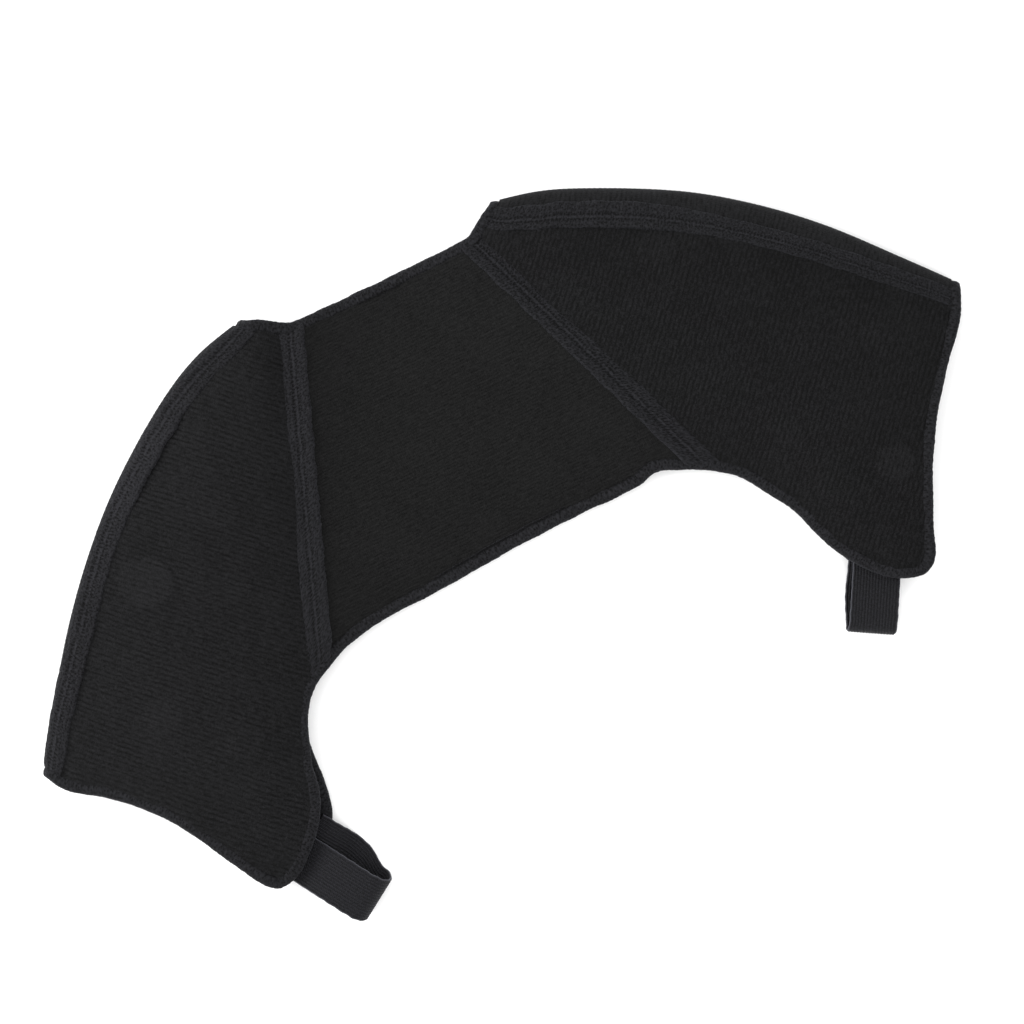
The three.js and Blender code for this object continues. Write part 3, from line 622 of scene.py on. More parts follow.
def sheet_piece(name, upper, lower, cloth, tint, material, node):
    """Two grids of points as the faces of one sheet, closed round its rim."""
    rows, columns = upper.shape[:2]
    count = rows * columns
    top = grid_faces(rows, columns)
    rim = [k * columns for k in range(rows - 1)]
    rim += [(rows - 1) * columns + j for j in range(columns - 1)]
    rim += [k * columns + columns - 1 for k in range(rows - 1, 0, -1)]
    rim += list(range(columns - 1, 0, -1))
    rim = np.array(rim)
    after = np.roll(rim, -1)
    sides = np.stack([rim, after, after + count, rim + count], axis=-1)
    faces = np.concatenate([top[:, ::-1], top + count, sides])
    points = np.concatenate([upper.reshape(-1, 3), lower.reshape(-1, 3)])
    cloth = np.concatenate([cloth.reshape(-1, 2)] * 2)
    tint = np.concatenate([tint.ravel()] * 2)
    return mesh_piece(name, points, faces, cloth, tint, material, node)


def tube_piece(name, rings, cloth, tint, material, node):
    """A closed tube of rings, shut at both ends by drawing the last rings together."""
    rings = np.concatenate([rings[:1].mean(1, keepdims=True).repeat(rings.shape[1], 1), rings,
                            rings[-1:].mean(1, keepdims=True).repeat(rings.shape[1], 1)])
    cloth = np.concatenate([cloth[:1], cloth, cloth[-1:]])
    tint = np.concatenate([tint[:1], tint, tint[-1:]])
    rows, columns = rings.shape[:2]
    faces = grid_faces(rows, columns, loop=True)
    return mesh_piece(name, rings.reshape(-1, 3), faces, cloth.reshape(-1, 2), tint.ravel(), material, node)


# Materials
def linear(code):
    """The linear colour of an sRGB hex value."""
    parts = [int(code[k : k + 2], 16) / 255 for k in (0, 2, 4)]
    return tuple(c / 12.92 if c <= 0.04045 else ((c + 0.055) / 1.055) ** 2.4 for c in parts) + (1,)


def node(tree, kind, settings=None, values=None, links=None):
    """Adds a node to a tree with its settings, its socket values and its links from other sockets."""
    made = tree.nodes.new(kind)
    for key, value in (settings or {}).items():
        setattr(made, key, value)
    for key, value in (values or {}).items():
        made.inputs[key].default_value = value
    for key, source in (links or {}).items():
        tree.links.new(source, made.inputs[key])
    return made


def new_material(name):
    material = bpy.data.materials.new(name)
    material.use_nodes = True
    tree = material.node_tree
    tree.nodes.clear()
    return material, tree


def toned(tree, factor, dark, bright):
    """A colour between two, by a factor."""
    blend = node(
        tree, "ShaderNodeMix", {"data_type": "RGBA"}, {"A": dark, "B": bright}, {"Factor": factor}
    )
    return blend.outputs["Result"]


def math_node(tree, operation, *terms, clamp=False):
    made = node(tree, "ShaderNodeMath", {"operation": operation, "use_clamp": clamp})
    for k, term in enumerate(terms):
        if isinstance(term, (int, float)):
            made.inputs[k].default_value = term
        else:
            tree.links.new(term, made.inputs[k])
    return made.outputs[0]


def cloth_coordinates(tree):
    """Across and along the cloth, in millimetres, and the tint."""
    uv = node(tree, "ShaderNodeUVMap", {"uv_map": "cloth"})
    split = node(tree, "ShaderNodeSeparateXYZ", links={"Vector": uv.outputs["UV"]})
    tint = node(tree, "ShaderNodeAttribute", {"attribute_name": "tint"})
    return uv.outputs["UV"], split.outputs["X"], split.outputs["Y"], tint.outputs["Fac"]


def rounded(tree, coordinate, spacing):
    """1 on the crest of each rib and 0 in the groove between two."""
    turn = math_node(tree, "MULTIPLY", coordinate, 2 * math.pi / spacing)
    return math_node(tree, "MULTIPLY_ADD", math_node(tree, "COSINE", turn), 0.5, 0.5)


def line_at(tree, coordinate, place, width):
    """1 on a line and 0 from its width away."""
    off = math_node(tree, "ABSOLUTE", math_node(tree, "SUBTRACT", coordinate, place))
    return math_node(tree, "SUBTRACT", 1.0, math_node(tree, "DIVIDE", off, width), clamp=True)


def noise(tree, vector, scale, detail=2.0):
    """Noise about nought, with its scale in features for each millimetre."""
    made = node(tree, "ShaderNodeTexNoise", {"noise_dimensions": "2D"},
                {"Scale": scale, "Detail": detail, "Roughness": 0.65}, {"Vector": vector})
    return math_node(tree, "SUBTRACT", made.outputs["Fac"], 0.5)


def stretched_uv(tree, uv, across, along):
    made = node(tree, "ShaderNodeMapping", values={"Scale": (across, along, 1)}, links={"Vector": uv})
    return made.outputs["Vector"]


def summed(tree, start, *terms):
    """A start value and several terms, each a socket with its weight."""
    total = start
    for socket, weight in terms:
        total = math_node(tree, "MULTIPLY_ADD", socket, weight, total)
    return total


def shaded(tree, shade, colour, dark, bright):
    base = linear(colour)[:3]
    low, high = (tuple(c * k for c in base) + (1,) for k in (dark, bright))
    return toned(tree, math_node(tree, "MAXIMUM", shade, 0.0, clamp=True), low, high)


def finish_cloth(tree, colour, height, roughness, sheen, distance, specular):
    bump = node(
        tree, "ShaderNodeBump", values={"Strength": 1.0, "Distance": distance}, links={"Height": height}
    )
    shader = node(
        tree, "ShaderNodeBsdfPrincipled",
        values={
            "Roughness": roughness, "IOR": 1.5, "Specular IOR Level": specular,
            "Sheen Weight": sheen, "Sheen Roughness": 0.4, "Sheen Tint": linear("B4B6C4"),
        },
        links={"Base Color": colour, "Normal": bump.outputs["Normal"]},
    )
    node(tree, "ShaderNodeOutputMaterial", links={"Surface": shader.outputs["BSDF"]})


def rib_knit(name, spacing, colour, groove, grain, pair=0.0):
    """Polyester rib knit, weft-knitted and dyed black: matt ridges, broken grooves with painted shade and a
    fine bloom.
    """
    material, tree = new_material(name)
    uv, across, along, tint = cloth_coordinates(tree)
    crest = rounded(tree, math_node(tree, "MULTIPLY_ADD", noise(tree, uv, 0.12), 0.9, across), spacing)
    # Painted shade: the grooves between the ribs are darkened, as the shade that falls in them
    groove_shade = math_node(tree, "POWER", math_node(tree, "SUBTRACT", 1.0, crest), 2.6)
    # Stitches pull the groove together here and there, which breaks it into dashes
    dashes = noise(tree, stretched_uv(tree, uv, 0.9, 0.3), 1.0)
    dashes = math_node(tree, "MULTIPLY_ADD", dashes, 3.4, 0.75, clamp=True)
    course = rounded(tree, math_node(tree, "MULTIPLY_ADD", crest, 0.35, along), 1.05)
    shade = summed(
        tree, tint, (math_node(tree, "MULTIPLY", groove_shade, dashes), -groove), (course, 0.07),
        (noise(tree, uv, 0.9, 3.0), grain),
        (noise(tree, stretched_uv(tree, uv, 1.0, 0.35), 0.7), grain * 0.7),
        (noise(tree, uv, 0.03, 3.0), 0.35), (rounded(tree, across, spacing * 2), pair),
    )
    shade = math_node(tree, "ADD", shade, 0.46)
    height = summed(tree, 0.0, (course, 0.35), (noise(tree, uv, 1.3, 3.0), 1.6))
    finish_cloth(tree, shaded(tree, shade, colour, 0.2, 2.0), height, 0.85, 0.03, 0.0002, 0.105)
    return material


def looped_edge(name, size, stitch, colour):
    """Textured nylon overlock thread: fuzzy and matt, with pinholes between its loops and stitch holes."""
    material, tree = new_material(name)
    uv, across, along, tint = cloth_coordinates(tree)
    cells = node(tree, "ShaderNodeTexVoronoi", {"voronoi_dimensions": "2D", "feature": "F1"},
                 {"Scale": 1 / size, "Randomness": 0.9}, {"Vector": uv})
    apart = math_node(tree, "MULTIPLY", cells.outputs["Distance"], 2.6)
    pinhole = math_node(tree, "SUBTRACT", 1.0, apart, clamp=True)
    # A flatlock seam shows two rows of holes 2 mm apart; a hem keeps its across coordinate clear of them
    beat = rounded(tree, math_node(tree, "MULTIPLY_ADD", noise(tree, uv, 0.3), 1.0, along), stitch)
    rows = [line_at(tree, across, SEWN_AT + off, 0.75) for off in (-ROW_OFF, ROW_OFF)]
    rows = math_node(tree, "ADD", *rows, clamp=True)
    between = line_at(tree, across, SEWN_AT, 0.7)
    shade = summed(
        tree, tint, (pinhole, -0.7), (noise(tree, uv, 0.75, 3.0), 1.7), (noise(tree, uv, 0.06), 0.3),
        (math_node(tree, "MULTIPLY", rows, math_node(tree, "POWER", beat, 1.5)), -0.8), (between, 0.3),
    )
    shade = math_node(tree, "ADD", shade, 0.62)
    height = summed(tree, 0.0, (pinhole, -0.8), (noise(tree, uv, 1.1, 3.0), 1.6), (rows, -0.5))
    finish_cloth(tree, shaded(tree, shade, colour, 0.15, 2.0), height, 0.9, 0.05, 0.0004, 0.12)
    return material


def elastic_webbing(name, ribs, colour):
    """Woven polyester over rubber cords: close lengthwise ribs with fine cross threads, a little glossy."""
    material, tree = new_material(name)
    uv, across, along, tint = cloth_coordinates(tree)
    crest = rounded(tree, math_node(tree, "ADD", across, WEBBING_WIDTH / ribs / 2), WEBBING_WIDTH / ribs)
    # Cross threads lie 1 mm apart, and step by half on every other rib
    step = math_node(tree, "FRACT", math_node(tree, "MULTIPLY", across, ribs / WEBBING_WIDTH / 2))
    picks = rounded(tree, math_node(tree, "MULTIPLY_ADD", step, 1.0, along), 1.0)
    shade = summed(tree, tint, (crest, 0.22), (picks, 0.2), (noise(tree, uv, 1.0, 3.0), 1.5))
    shade = math_node(tree, "ADD", shade, 0.18)
    height = summed(tree, 0.0, (picks, 0.5), (crest, 0.8), (noise(tree, uv, 1.4, 3.0), 0.8))
    # Where the tint passes 1, along the selvedges, a paler colour is painted on as a highlight on the strap's
    # edge
    painted_edge_highlight = math_node(tree, "SUBTRACT", tint, 1.0, clamp=True)
    base = node(
        tree, "ShaderNodeMix", {"data_type": "RGBA"}, {"B": linear("4A4A50")},
        {"Factor": painted_edge_highlight, "A": shaded(tree, shade, colour, 0.2, 2.1)},
    )
    finish_cloth(tree, base.outputs["Result"], height, 0.6, 0.04, 0.00025, 0.11)
    return material


def painted_board(name, colour):
    """Matt painted board of a studio floor: flat, pale and without gloss."""
    material, tree = new_material(name)
    shader = node(tree, "ShaderNodeBsdfPrincipled",
                  values={"Base Color": linear(colour), "Roughness": 0.9, "Specular IOR Level": 0.2})
    node(tree, "ShaderNodeOutputMaterial", links={"Surface": shader.outputs["BSDF"]})
    return material


# Relief
def rib_coordinates(points, side):
    """Across and along the ribs at each plan point, in millimetres; the ribs fan out a little."""
    data = side.data
    angle = math.radians(data["rib_angle"])
    way = np.array([math.cos(angle), math.sin(angle)])
    centre = (side.neck + side.cuff + side.lobe)[:2] / 3
    flat = points[..., :2] - centre
    along = flat @ way
    across = flat @ np.array([-way[1], way[0]])
    return across * (1 + data["rib_fan"] * along), along


def rib_profile(across, spacing):
    """Rounded ridges with narrow grooves, from 0 to 1."""
    return (0.5 + 0.5 * np.cos(2 * math.pi * across / spacing)) ** 0.6


def pad_relief(points):
    """Low round plateaus with a soft rim, and painted light on the knit over them, as their flat tops catch
    more light.
    """
    height, light = np.zeros(points.shape[:-1]), np.zeros(points.shape[:-1])
    for x, y, radius, clear in PADS:
        d = np.hypot(points[..., 0] - x, points[..., 1] - y)
        plateau = ease((radius - d) / 2.2)
        rim = 0.3 * np.exp(-(((d - radius + 1.2) / 1.1) ** 2))
        height = np.maximum(height, (0.45 * plateau + rim) * (0.4 + 0.6 * clear))
        # Painted light: the knit over a pad is lighter, as its flattened ribs catch more light
        light = np.maximum(light, plateau * 0.2 * clear)
    return height, light


def panel_surface(middle, across, spacing, height, rough, seed):
    """The upper and lower face of a panel with its ribs, soft waves and pads, and the painted light over the
    pads.
    """
    up = normals_of(middle)
    up *= np.sign(up[..., 2:3] + 1e-9)
    flat = middle[..., :2]
    bend = ripple(flat, 34, seed) * 0.16 + ripple(flat, 9, seed + 1, 20) * 0.06
    depth = height * (0.85 + 0.25 * ripple(flat, 22, seed + 2))
    relief = rib_profile(across + bend, spacing) * depth - height / 2
    waves = rough * (ripple(flat, 75, seed + 3, 10) * 0.55 + ripple(flat, 28, seed + 4) * 0.16)
    pads, light = pad_relief(flat)
    waves += pads
    upper = middle + up * (CLOTH / 2 + relief + waves)[..., None]
    lower = middle - up * (CLOTH / 2)
    lower[..., 2] = np.maximum(lower[..., 2], 0.02)
    return upper, lower, across + bend, light


class SleeveBacks(bpy.types.Operator):
    """Builds the ribbed back panel of each sleeve"""

    bl_idname = "support.sleeve_backs"
    bl_label = "Sleeve backs"

    def execute(self, context):
        knit = context.scene.support_knit
        spacing, height = knit.rib_spacing / TO_METRES, knit.rib_height / TO_METRES
        for key, side in SIDE.items():
            u = np.linspace(*SHOULDER_SPAN, 500)
            outer, _ = side.fold(u, side.band_edge(u, 1) - UNDER_BAND)
            seam, place = seam_line(side, BAND_WIDTH / 2 - UNDER_BAND, UNDER_HEM)
            lower = set_in(LOWER_RUN, UNDER_HEM)
            k = int(round(place))
            underarm = lower[: k + 1][::-1] if side.turn < 0 else lower[k:]
            inner = resampled(np.concatenate([seam[:-1], underarm[2:]]), 500)
            cuff = resampled(set_in(cuff_top(side), UNDER_HEM), 80)
            cuff[0], cuff[-1] = outer[-1], inner[-1]
            neck = resampled(np.array([outer[0], inner[0]]), 80)
            rungs = 440
            row = np.linspace(0, 1, rungs)
            rows = []
            for line in (outer, inner):
                value = rib_coordinates(line, side)[0]
                value = value * np.sign(value[-1] - value[0])
                rows.append(stretched(line, value, mix(value.min(), value.max(), row)))
            rows[0][0], rows[0][-1], rows[1][0], rows[1][-1] = neck[0], cuff[0], neck[-1], cuff[-1]
            middle = coons(rows[0], rows[1], neck, cuff)
            j, i = np.linspace(0, 1, 80)[None], row[:, None]
            middle[..., 2] += SLEEVE_PUFF * arch(j) * np.sqrt(np.maximum(arch(i), 0))
            across, along = rib_coordinates(middle, side)
            depth = height * side.data["rib_depth"]
            upper, under, across, tint = panel_surface(middle, across, spacing, depth, 1.0, 40 + side.turn)
            cloth = np.stack([across, along], axis=-1)
            # The tint is painted light over the pads and, on the right sleeve, painted shade, as the light
            # falls from the left
            tint = tint + side.data["tint"]
            piece = sheet_piece(
                f"{key}_sleeve_back_knit", upper, under, cloth, tint,
                bpy.data.materials["weft_knitted_rib_polyester"], f"{key}_sleeve_back",
            )
        return {"FINISHED"}


class SleeveFronts(bpy.types.Operator):
    """Builds the panel that wraps round each shoulder fold and lies underneath"""

    bl_idname = "support.sleeve_fronts"
    bl_label = "Sleeve fronts"

    def execute(self, context):
        knit = context.scene.support_knit
        spacing, height = knit.rib_spacing / TO_METRES, knit.rib_height / TO_METRES
        for key, side in SIDE.items():
            rungs, wraps, floors = 320, 24, 34
            u = np.linspace(*SHOULDER_SPAN, rungs)
            t = np.linspace(0, 1, wraps)[None]
            start, end = side.band_edge(u, 0) + UNDER_BAND, side.section(u, 0.0)[4]
            s = mix(start[:, None], end[:, None], t)
            wrap, wrap_up = side.fold(np.repeat(u[:, None], wraps, 1), s)
            bottom = wrap[:, -1]
            inner = resampled(set_in(front_free(side), UNDER_HEM), rungs)
            cuff = resampled(set_in(cuff_under(side), UNDER_HEM), floors)
            cuff[0], cuff[-1] = bottom[-1], inner[-1]
            neck = resampled(np.array([bottom[0], inner[0]]), floors)
            floor = coons(bottom, inner, neck, cuff)
            middle = np.concatenate([wrap, floor[:, 1:]], axis=1)
            up = np.concatenate([wrap_up, np.tile([0.0, 0, -1], (rungs, floors - 1, 1))], axis=1)
            along_fold = (u * side.shoulder.length)[:, None] + np.zeros(middle.shape[:2])
            steps = np.linalg.norm(np.diff(middle, axis=1), axis=-1)
            down = np.concatenate([np.zeros((rungs, 1)), np.cumsum(steps, axis=1)], axis=1)
            across = along_fold + ripple(np.stack([along_fold, down], -1), 30, 61) * 0.2
            relief = (rib_profile(across, spacing) - 0.5) * height * 0.4
            upper = middle + up * (CLOTH / 2 + relief)[..., None]
            upper[..., 2] = np.maximum(upper[..., 2], 0.01)
            under = middle - up * (CLOTH / 2)
            piece = sheet_piece(
                f"{key}_sleeve_front_knit", upper, under, np.stack([across, down], -1),
                np.full(across.shape, 0.12), bpy.data.materials["weft_knitted_rib_polyester"],
                f"{key}_sleeve_front",
            )
        return {"FINISHED"}


class CentrePanel(bpy.types.Operator):
    """Builds the fine-ribbed panel in the middle of the back"""

    bl_idname = "support.centre_panel"
    bl_label = "Centre panel"

    def execute(self, context):
        knit = context.scene.support_knit
        spacing, height = knit.fine_rib_spacing / TO_METRES, knit.fine_rib_height / TO_METRES
        away = -(BAND_WIDTH / 2 - UNDER_BAND)
        rungs, columns = 380, 120
        left, left_place = seam_line(SIDE["left"], away, UNDER_HEM, rungs)
        right, right_place = seam_line(SIDE["right"], away, UNDER_HEM, rungs)
        lower = set_in(LOWER_RUN, UNDER_HEM)
        lower = resampled(lower[int(left_place) + 2 : int(right_place) - 1], columns)
        upper = mix(left[0], right[0], np.linspace(0, 1, columns)[:, None])
        upper[:, 2] = mix(FLOOR_LIFT, NECK_LIFT, (2 * np.linspace(0, 1, columns) - 1) ** 2)
        lower[0], lower[-1] = left[-1], right[-1]
        middle = coons(left, right, upper, lower)
        top, under, across, _ = panel_surface(middle, middle[..., 1], spacing, height, 0.7, 70)
        piece = sheet_piece(
            "center_back_knit", top, under, np.stack([across, middle[..., 0]], -1),
            np.zeros(across.shape), bpy.data.materials["weft_knitted_fine_rib_polyester"],
            "center_back_panel",
        )
        return {"FINISHED"}


def loop_relief(points, size, seed):
    """Bumps of looped yarn, from about -1 to 1."""
    fine = ripple(points, size * 1.5, seed, 26)
    coarse = ripple(points, size * 4, seed + 1, 12)
    return 0.7 * fine + 0.3 * coarse


def hem_piece(name, run, settings, node_name):
    """A folded hem: round, a little wavy, covered in loops, with a row of stitches on its inner side."""
    at, inward, up = run
    lift = np.maximum(0, HEM_THICK / 2 - at[:, 2]) * np.abs(up[:, 2])
    at = at + np.array([0, 0, 1]) * lift[:, None]
    line = np.concatenate([[0], np.cumsum(np.linalg.norm(np.diff(at, axis=0), axis=1))])
    size, loops = settings.loop_size / TO_METRES, settings.loop_height / TO_METRES
    stitch = settings.stitch_length / TO_METRES
    turn = np.linspace(0, 2 * math.pi, 34, endpoint=False)[None]
    across = 0.5 - 0.5 * signed_power(np.cos(turn), 0.85)
    high = 0.5 * signed_power(np.sin(turn), 0.8)
    top = np.clip(np.sin(turn) * 2, 0, 1)
    beat = 0.5 + 0.5 * np.cos(2 * math.pi * line[:, None] / stitch)
    wobble = 0.02 * ripple(line[:, None], 11, 9)[:, None]
    groove = np.exp(-(((across - 0.84 - wobble) / 0.09) ** 2)) * top
    sink = groove * (0.16 + 0.1 * (1 - beat))
    wave = ripple(line[:, None], 26, len(name))[:, None]
    wide = HEM_LOOK * (1 + 0.04 * wave)
    shape_across = across * wide - (wide - HEM_LOOK) / 2
    shape_up = (high * (1 + 0.06 * ripple(line[:, None], 17, 5)[:, None]) - sink) * HEM_THICK
    points = at[:, None] + inward[:, None] * shape_across[..., None] + up[:, None] * shape_up[..., None]
    centre = at[:, None] + inward[:, None] * HEM_LOOK / 2
    out = unit(points - centre)
    bumps = loop_relief(points, size, 11 + len(name)) * loops * (1 - 0.6 * groove)
    points = points + out * bumps[..., None]
    points[..., 2] = np.maximum(points[..., 2], 0.0)
    girth = np.cumsum(np.full(turn.shape, 0.52), axis=1)
    cloth = np.stack(np.broadcast_arrays(girth, line[:, None]), axis=-1)
    # Painted light and shade: a highlight on the outer rim and outer side, shade in the stitch groove that is
    # deepest at each stitch, and lit and shaded lumps in turn along the crest
    rim = np.clip(1 - across / 0.12, 0, 1)
    crest = np.exp(-(((across - 0.45) / 0.3) ** 2))
    lump_shading = 0.12 * np.cos(2 * math.pi * line[:, None] / 2.6 + 2 * wave) * crest
    tint = -groove * (0.42 + 0.35 * beat) + 0.04 * (1 - across) + 0.26 * rim + lump_shading - 0.06
    piece = tube_piece(name, points, cloth, tint, bpy.data.materials["overlocked_textured_nylon"], node_name)
    return piece


class Hems(bpy.types.Operator):
    """Builds the folded and stitched edges"""

    bl_idname = "support.hems"
    bl_label = "Hems"

    def execute(self, context):
        settings = context.scene.support_edge
        hem_piece("neck_hem_edge", NECK_RUN, settings, "neck_hem")
        lower = LOWER_RUN
        for key, side in SIDE.items():
            cuff = joined(
                back(cuff_top(side)), side.hem_turn(1, fold_places(side, 1)), cuff_under(side),
            )
            front = joined(front_free(side))
            inner = back(lower) if side.turn < 0 else lower
            inner, cuff = round_tip(inner, cuff)
            lower = back(inner) if side.turn < 0 else inner
            front, cuff = round_tip(front, back(cuff))
            hem_piece(f"{key}_cuff_hem_edge", cuff, settings, f"{key}_cuff_hem")
            hem_piece(f"{key}_front_hem_edge", front, settings, f"{key}_front_hem")
        hem_piece("lower_hem_edge", lower, settings, "lower_hem")
        return {"FINISHED"}


def strip_points(place, across, high):
    """Points of a strip from a function that gives place and up for a share across its width."""
    rows = []
    for k in range(across.shape[-1]):
        at, up = place(across[..., k])
        rows.append(at + up * (high[:, k] * BAND_THICK)[:, None])
    return np.stack(rows, axis=1)


def seam_band(name, place, line, split, settings, node_name, painted_light_and_shade=0.0):
    """A flatlock band: two soft halves on each side of a sewn channel, which lies at a share across."""
    size, loops = settings.loop_size / TO_METRES, settings.loop_height / TO_METRES
    across = np.concatenate([np.linspace(0, 1, 36), np.linspace(0.9, 0.1, 8)])
    is_top = np.concatenate([np.ones(36), np.zeros(8)])[None]
    rim = np.minimum(across, 1 - across)[None]
    channel = np.exp(-(((across[None] - split) * BAND_WIDTH / 1.5) ** 2))
    crown = 0.64 - 0.5 * np.clip(1 - rim / 0.09, 0, 1) ** 2.2 - 0.1 * channel
    crown = crown - 0.05 * np.clip(1 - rim / 0.25, 0, 1)
    high = np.where(is_top > 0, crown + 0.02 * ripple(line[:, None], 9, 3)[:, None], -0.36)
    dive = np.exp((line[0] - line) / 2.5) + np.exp((line - line[-1]) / 2.5)
    high = high - 0.32 * dive[:, None] * is_top
    wander = 0.018 * ripple(line[:, None], 18, len(name)) + 0.01 * ripple(line[:, None], 4, 8)
    shares = across[None] + wander[:, None] * np.where(rim < 0.1, 1, 0.5)
    points = strip_points(place, shares, high)
    lifted = strip_points(place, shares, high + 0.1)
    bumps = loop_relief(points, size, 31 + len(name)) * loops * is_top
    points = points + unit(lifted - points) * bumps[..., None]
    points[..., 2] = np.maximum(points[..., 2], 0.0)
    from_seam = (across[None] - split) * BAND_WIDTH
    cloth = np.stack(np.broadcast_arrays(SEWN_AT + from_seam + 40 * (1 - is_top), line[:, None]), -1)
    # Painted highlight in a thin line near each edge, painted shadow at the very edge, and the caller's
    # painted light and shade along the band
    tint = 0.12 * np.exp(-(((rim - 0.05) / 0.03) ** 2)) - 0.35 * (rim < 0.02) + (painted_light_and_shade + 0 * line)[:, None]
    piece = tube_piece(name, points, cloth, tint, bpy.data.materials["overlocked_textured_nylon"], node_name)
    return piece


class SeamBands(bpy.types.Operator):
    """Builds the raised flatlock bands over the seams"""

    bl_idname = "support.seam_bands"
    bl_label = "Seam bands"

    def execute(self, context):
        settings = context.scene.support_edge
        for key, side in SIDE.items():
            u = np.linspace(0.02, 0.982, int(side.shoulder.length / 0.75))
            line = u * side.shoulder.length

            def over_fold(share):
                return side.fold(u, side.band_edge(u, share))

            # The left shoulder band gets a painted highlight where it is fullest, and the right one a little
            # painted shade
            shine = 0.22 * np.exp(-(((u - 0.36) / 0.13) ** 2)) - 0.06 if side.turn < 0 else -0.08
            seam_band(
                f"{key}_shoulder_band", over_fold, line, 0.5 if side.turn < 0 else 0.58, settings,
                f"{key}_shoulder_seam", shine,
            )
            out = square_to(unit(side.root - side.neck), side.turn)
            middle, _ = seam_line(side, 0.0, BAND_END, 280)
            line = np.linspace(0, np.linalg.norm(middle[-1] - middle[0]), 280)
            upright = np.tile([0.0, 0, 1], (280, 1))

            def beside(share):
                mean = share.mean()
                row, _ = seam_line(side, (mean - 0.5) * BAND_LOOK_WIDTH, BAND_END, 280)
                return row + out * ((share - mean) * BAND_LOOK_WIDTH)[:, None], upright

            # The left back band gets a little painted light and the right one painted shade, as the light
            # falls from the left
            seam_band(
                f"{key}_back_band", beside, line, 0.5, settings, f"{key}_back_seam",
                0.03 if side.turn < 0 else -0.08,
            )
        return {"FINISHED"}


class ElasticLoops(bpy.types.Operator):
    """Builds the ribbed elastic under each arm"""

    bl_idname = "support.elastic_loops"
    bl_label = "Elastic loops"

    def execute(self, context):
        settings = context.scene.support_webbing
        for key, side in SIDE.items():
            self.loop(key, side, settings)
        return {"FINISHED"}

    def loop(self, key, side, settings):
        data = side.data
        angle = math.radians(data["loop_aim"])
        aim = plan(math.cos(angle), math.sin(angle))
        across_way = square_to(aim, 1)
        root = side.underarm.at(data["loop_root"])
        shift = across_way * data["loop_spread"]
        edge = np.concatenate([front_free(side)[0], cuff_under(side)[0][::-1]])
        _, met = cut(edge, root + shift, aim)
        front_reach = float((met - root - shift) @ aim)
        near_lift = LOBE_LIFT - HEM_THICK / 2 - GAP - WEBBING_THICK / 2
        far_lift = HEM_THICK + GAP + WEBBING_THICK / 2
        low = WEBBING_THICK / 2
        radius = (data["loop_lift"] - low) / 2
        turn_at = data["loop_reach"] - radius
        rows = [(-WEBBING_TUCK, near_lift, 0), (-3, near_lift, 0), (1.5, near_lift + 0.3, 0)]
        rows += [(turn_at * 0.5, mix(near_lift, data["loop_lift"], 0.75), 0)]
        for t in np.linspace(0, 1, 7):
            out, lift = radius * math.sin(math.pi * t), radius * (1 + math.cos(math.pi * t))
            rows.append((turn_at + out, low + lift, 0.45 * ease(t)))
        rows += [
            (mix(turn_at, front_reach, 0.3), low, 0.85), (mix(turn_at, front_reach, 0.6), low, 1),
            (front_reach + 2.2, far_lift - 1, 1), (front_reach - 2, far_lift, 1),
            (front_reach - WEBBING_TUCK, far_lift, 1),
        ]
        points = [root * [1, 1, 0] + aim * r + shift * s + [0, 0, z] for r, z, s in rows]
        curve = Edge(points)
        t = np.linspace(0, 1, int(curve.length / 0.8))
        at, way = curve.at(t), curve.way(t)
        up = unit(np.cross(way, across_way))
        ribs = settings.rib_count
        over, under = np.linspace(0, 1, 6 * ribs + 1), np.linspace(1, 0, 6 * ribs + 1)[1:-1]
        across = np.concatenate([over, under])[None]
        face = np.concatenate([np.ones(len(over)), -np.ones(len(under))])[None]
        rib = np.abs(np.sin(math.pi * across * ribs)) ** 0.7
        edge_share = np.clip(np.minimum(across, 1 - across) / 0.035, 0, 1)
        relief = settings.rib_height / TO_METRES * (rib - 0.5) * edge_share
        high = face * (WEBBING_THICK / 2 * np.sqrt(edge_share) * 0.92 + relief)
        selvedge_highlight = np.clip(1 - np.minimum(across, 1 - across) / 0.03, 0, 1)
        line = t[:, None] * curve.length
        wavy = 0.25 * ripple(line, 7, 3)[:, None]
        sideways = (across - 0.5) * (WEBBING_WIDTH + wavy)
        points = at[:, None] + across_way * sideways[..., None] + up[:, None] * high[..., None]
        points[..., 2] = np.maximum(points[..., 2], 0.0)
        cloth = np.stack(np.broadcast_arrays(across * WEBBING_WIDTH, line), -1)
        # Painted highlight along the edges of the strap, and on the right loop painted shade, as the light
        # falls from the left
        tint = selvedge_highlight * 2.2 + data["tint"] * 0.5 + 0 * line
        piece = tube_piece(
            f"{key}_elastic_webbing", points, cloth, tint, bpy.data.materials["woven_elastic_webbing"],
            f"{key}_elastic_loop",
        )


class Finishes(bpy.types.Operator):
    """Makes the cloth materials"""

    bl_idname = "support.finishes"
    bl_label = "Finishes"

    def execute(self, context):
        scene = context.scene
        knit, edge, webbing = scene.support_knit, scene.support_edge, scene.support_webbing
        rib_knit("weft_knitted_rib_polyester", knit.rib_spacing / TO_METRES, knit.colour, 0.42, 1.5)
        rib_knit(
            "weft_knitted_fine_rib_polyester", knit.fine_rib_spacing / TO_METRES, knit.fine_colour, 0.3, 1.3,
            0.08,
        )
        looped_edge(
            "overlocked_textured_nylon", edge.loop_size / TO_METRES, edge.stitch_length / TO_METRES,
            edge.colour,
        )
        elastic_webbing("woven_elastic_webbing", webbing.rib_count, webbing.colour)
        return {"FINISHED"}


def area_light(name, place, target, size, power):
    light = bpy.data.lights.new(name, "AREA")
    light.size = size
    light.energy = power
    lamp = bpy.data.objects.new(name, light)
    lamp.location = place
    lamp.rotation_euler = (target - place).to_track_quat("-Z", "Y").to_euler()
    bpy.context.collection.objects.link(lamp)


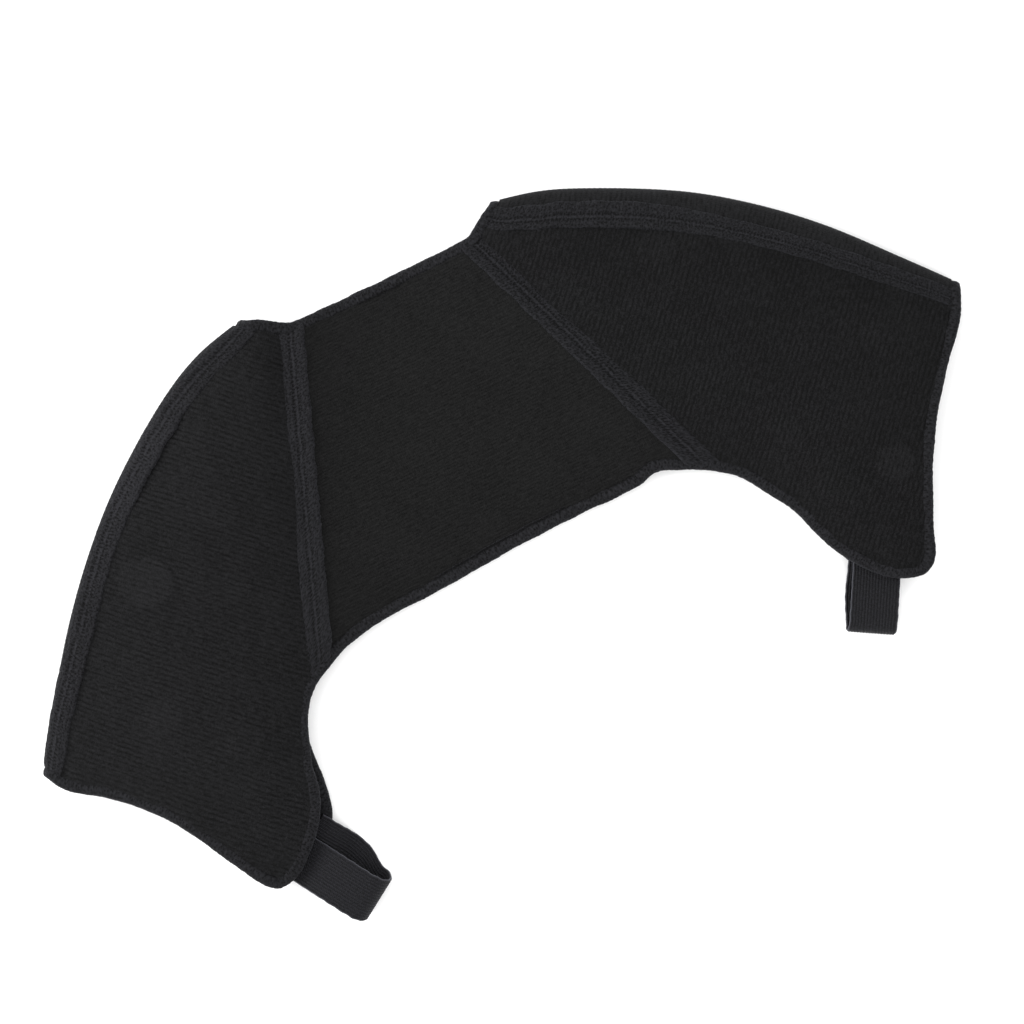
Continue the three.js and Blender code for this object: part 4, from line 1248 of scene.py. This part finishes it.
class Studio(bpy.types.Operator):
    """Builds the floor, the lights and the camera"""

    bl_idname = "support.studio"
    bl_label = "Studio"

    def execute(self, context):
        settings = context.scene.support_stage
        mesh = bpy.data.meshes.new("studio_floor")
        reach = 6.0
        corners = [(-reach, -reach, 0), (reach, -reach, 0), (reach, reach, 0), (-reach, reach, 0)]
        mesh.from_pydata(corners, [], [(0, 1, 2, 3)])
        mesh.materials.append(painted_board("matt_painted_board", settings.floor_colour))
        floor = bpy.data.objects.new("studio_floor", mesh)
        floor.location.z = -0.0004
        context.collection.objects.link(floor)
        world = bpy.data.worlds.new("soft_studio")
        world.use_nodes = True
        world.node_tree.nodes["Background"].inputs["Color"].default_value = linear("FFFFFF")
        world.node_tree.nodes["Background"].inputs["Strength"].default_value = 1.4
        context.scene.world = world
        turn, height = settings.camera_turn, settings.camera_height
        level = math.cos(height)
        away = Vector((math.sin(turn) * level, -math.cos(turn) * level, math.sin(height)))
        right = Vector((math.cos(turn), math.sin(turn), 0))
        over = away.cross(right)
        middle = Vector((0.0084, 0.003, 0.008))
        # Metres to the right, towards the picture's top and up, then size and watts
        for name, out, along, lift, size, power in (
            ("key_softbox", -1.7, 0.3, 0.9, 1.0, 42), ("fill_softbox", 1.2, -0.9, 1.5, 1.6, 14),
        ):
            area_light(name, middle + right * out + over * along + Vector((0, 0, lift)), middle, size, power)
        camera = bpy.data.cameras.new("photo_camera")
        camera.lens = 150
        camera.sensor_width = 36
        distance = settings.view_width * camera.lens / camera.sensor_width
        camera.clip_end = 50
        eye = bpy.data.objects.new("photo_camera", camera)
        eye.location = middle + away * distance
        eye.rotation_euler = away.to_track_quat("Z", "Y").to_euler()
        context.collection.objects.link(eye)
        context.scene.camera = eye
        context.scene.view_settings.view_transform = "Standard"
        return {"FINISHED"}


class SupportPanel(bpy.types.Panel):
    """Lists the pieces and their sizes"""

    bl_idname = "VIEW3D_PT_support"
    bl_label = "Shoulder support"
    bl_space_type = "VIEW_3D"
    bl_region_type = "UI"
    bl_category = "Support"

    def draw(self, context):
        for group in SETTINGS:
            box = self.layout.box()
            settings = getattr(context.scene, group)
            for name in settings.bl_rna.properties.keys():
                if name not in ("rna_type", "name"):
                    box.prop(settings, name)
        for operator in OPERATORS:
            self.layout.operator(operator.bl_idname)


SETTINGS = {
    "support_knit": KnitSettings,
    "support_edge": EdgeSettings,
    "support_webbing": WebbingSettings,
    "support_stage": StageSettings,
}
OPERATORS = (Studio, Finishes, CentrePanel, SleeveBacks, SleeveFronts, SeamBands, Hems, ElasticLoops)


def frame_shift():
    """From the plan's origin to the frame's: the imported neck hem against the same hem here."""
    ends = [side.hem_turn(0, fold_places(side, 0))[0] for side in SIDE.values()]
    row = np.concatenate([*ends, NECK_MIDDLE[0]])
    low, high = (np.array(corner) / TO_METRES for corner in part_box("neck_hem"))
    middle_x = (row[:, 0].min() + row[:, 0].max()) / 2
    return np.array([(low[0] + high[0]) / 2 - middle_x, high[1] - row[:, 1].max(), 0.0])


SHIFT = frame_shift()


def register():
    for settings in SETTINGS.values():
        bpy.utils.register_class(settings)
    for operator in OPERATORS:
        bpy.utils.register_class(operator)
    bpy.utils.register_class(SupportPanel)
    for name, settings in SETTINGS.items():
        setattr(bpy.types.Scene, name, PointerProperty(type=settings))


def unregister():
    for name in SETTINGS:
        delattr(bpy.types.Scene, name)
    for kind in (SupportPanel, *OPERATORS, *SETTINGS.values()):
        bpy.utils.unregister_class(kind)


def main():
    register()
    for operator in OPERATORS:
        group, name = operator.bl_idname.split(".")
        getattr(getattr(bpy.ops, group), name)()
    bpy.context.view_layer.update()


if __name__ == "__main__":
    main()
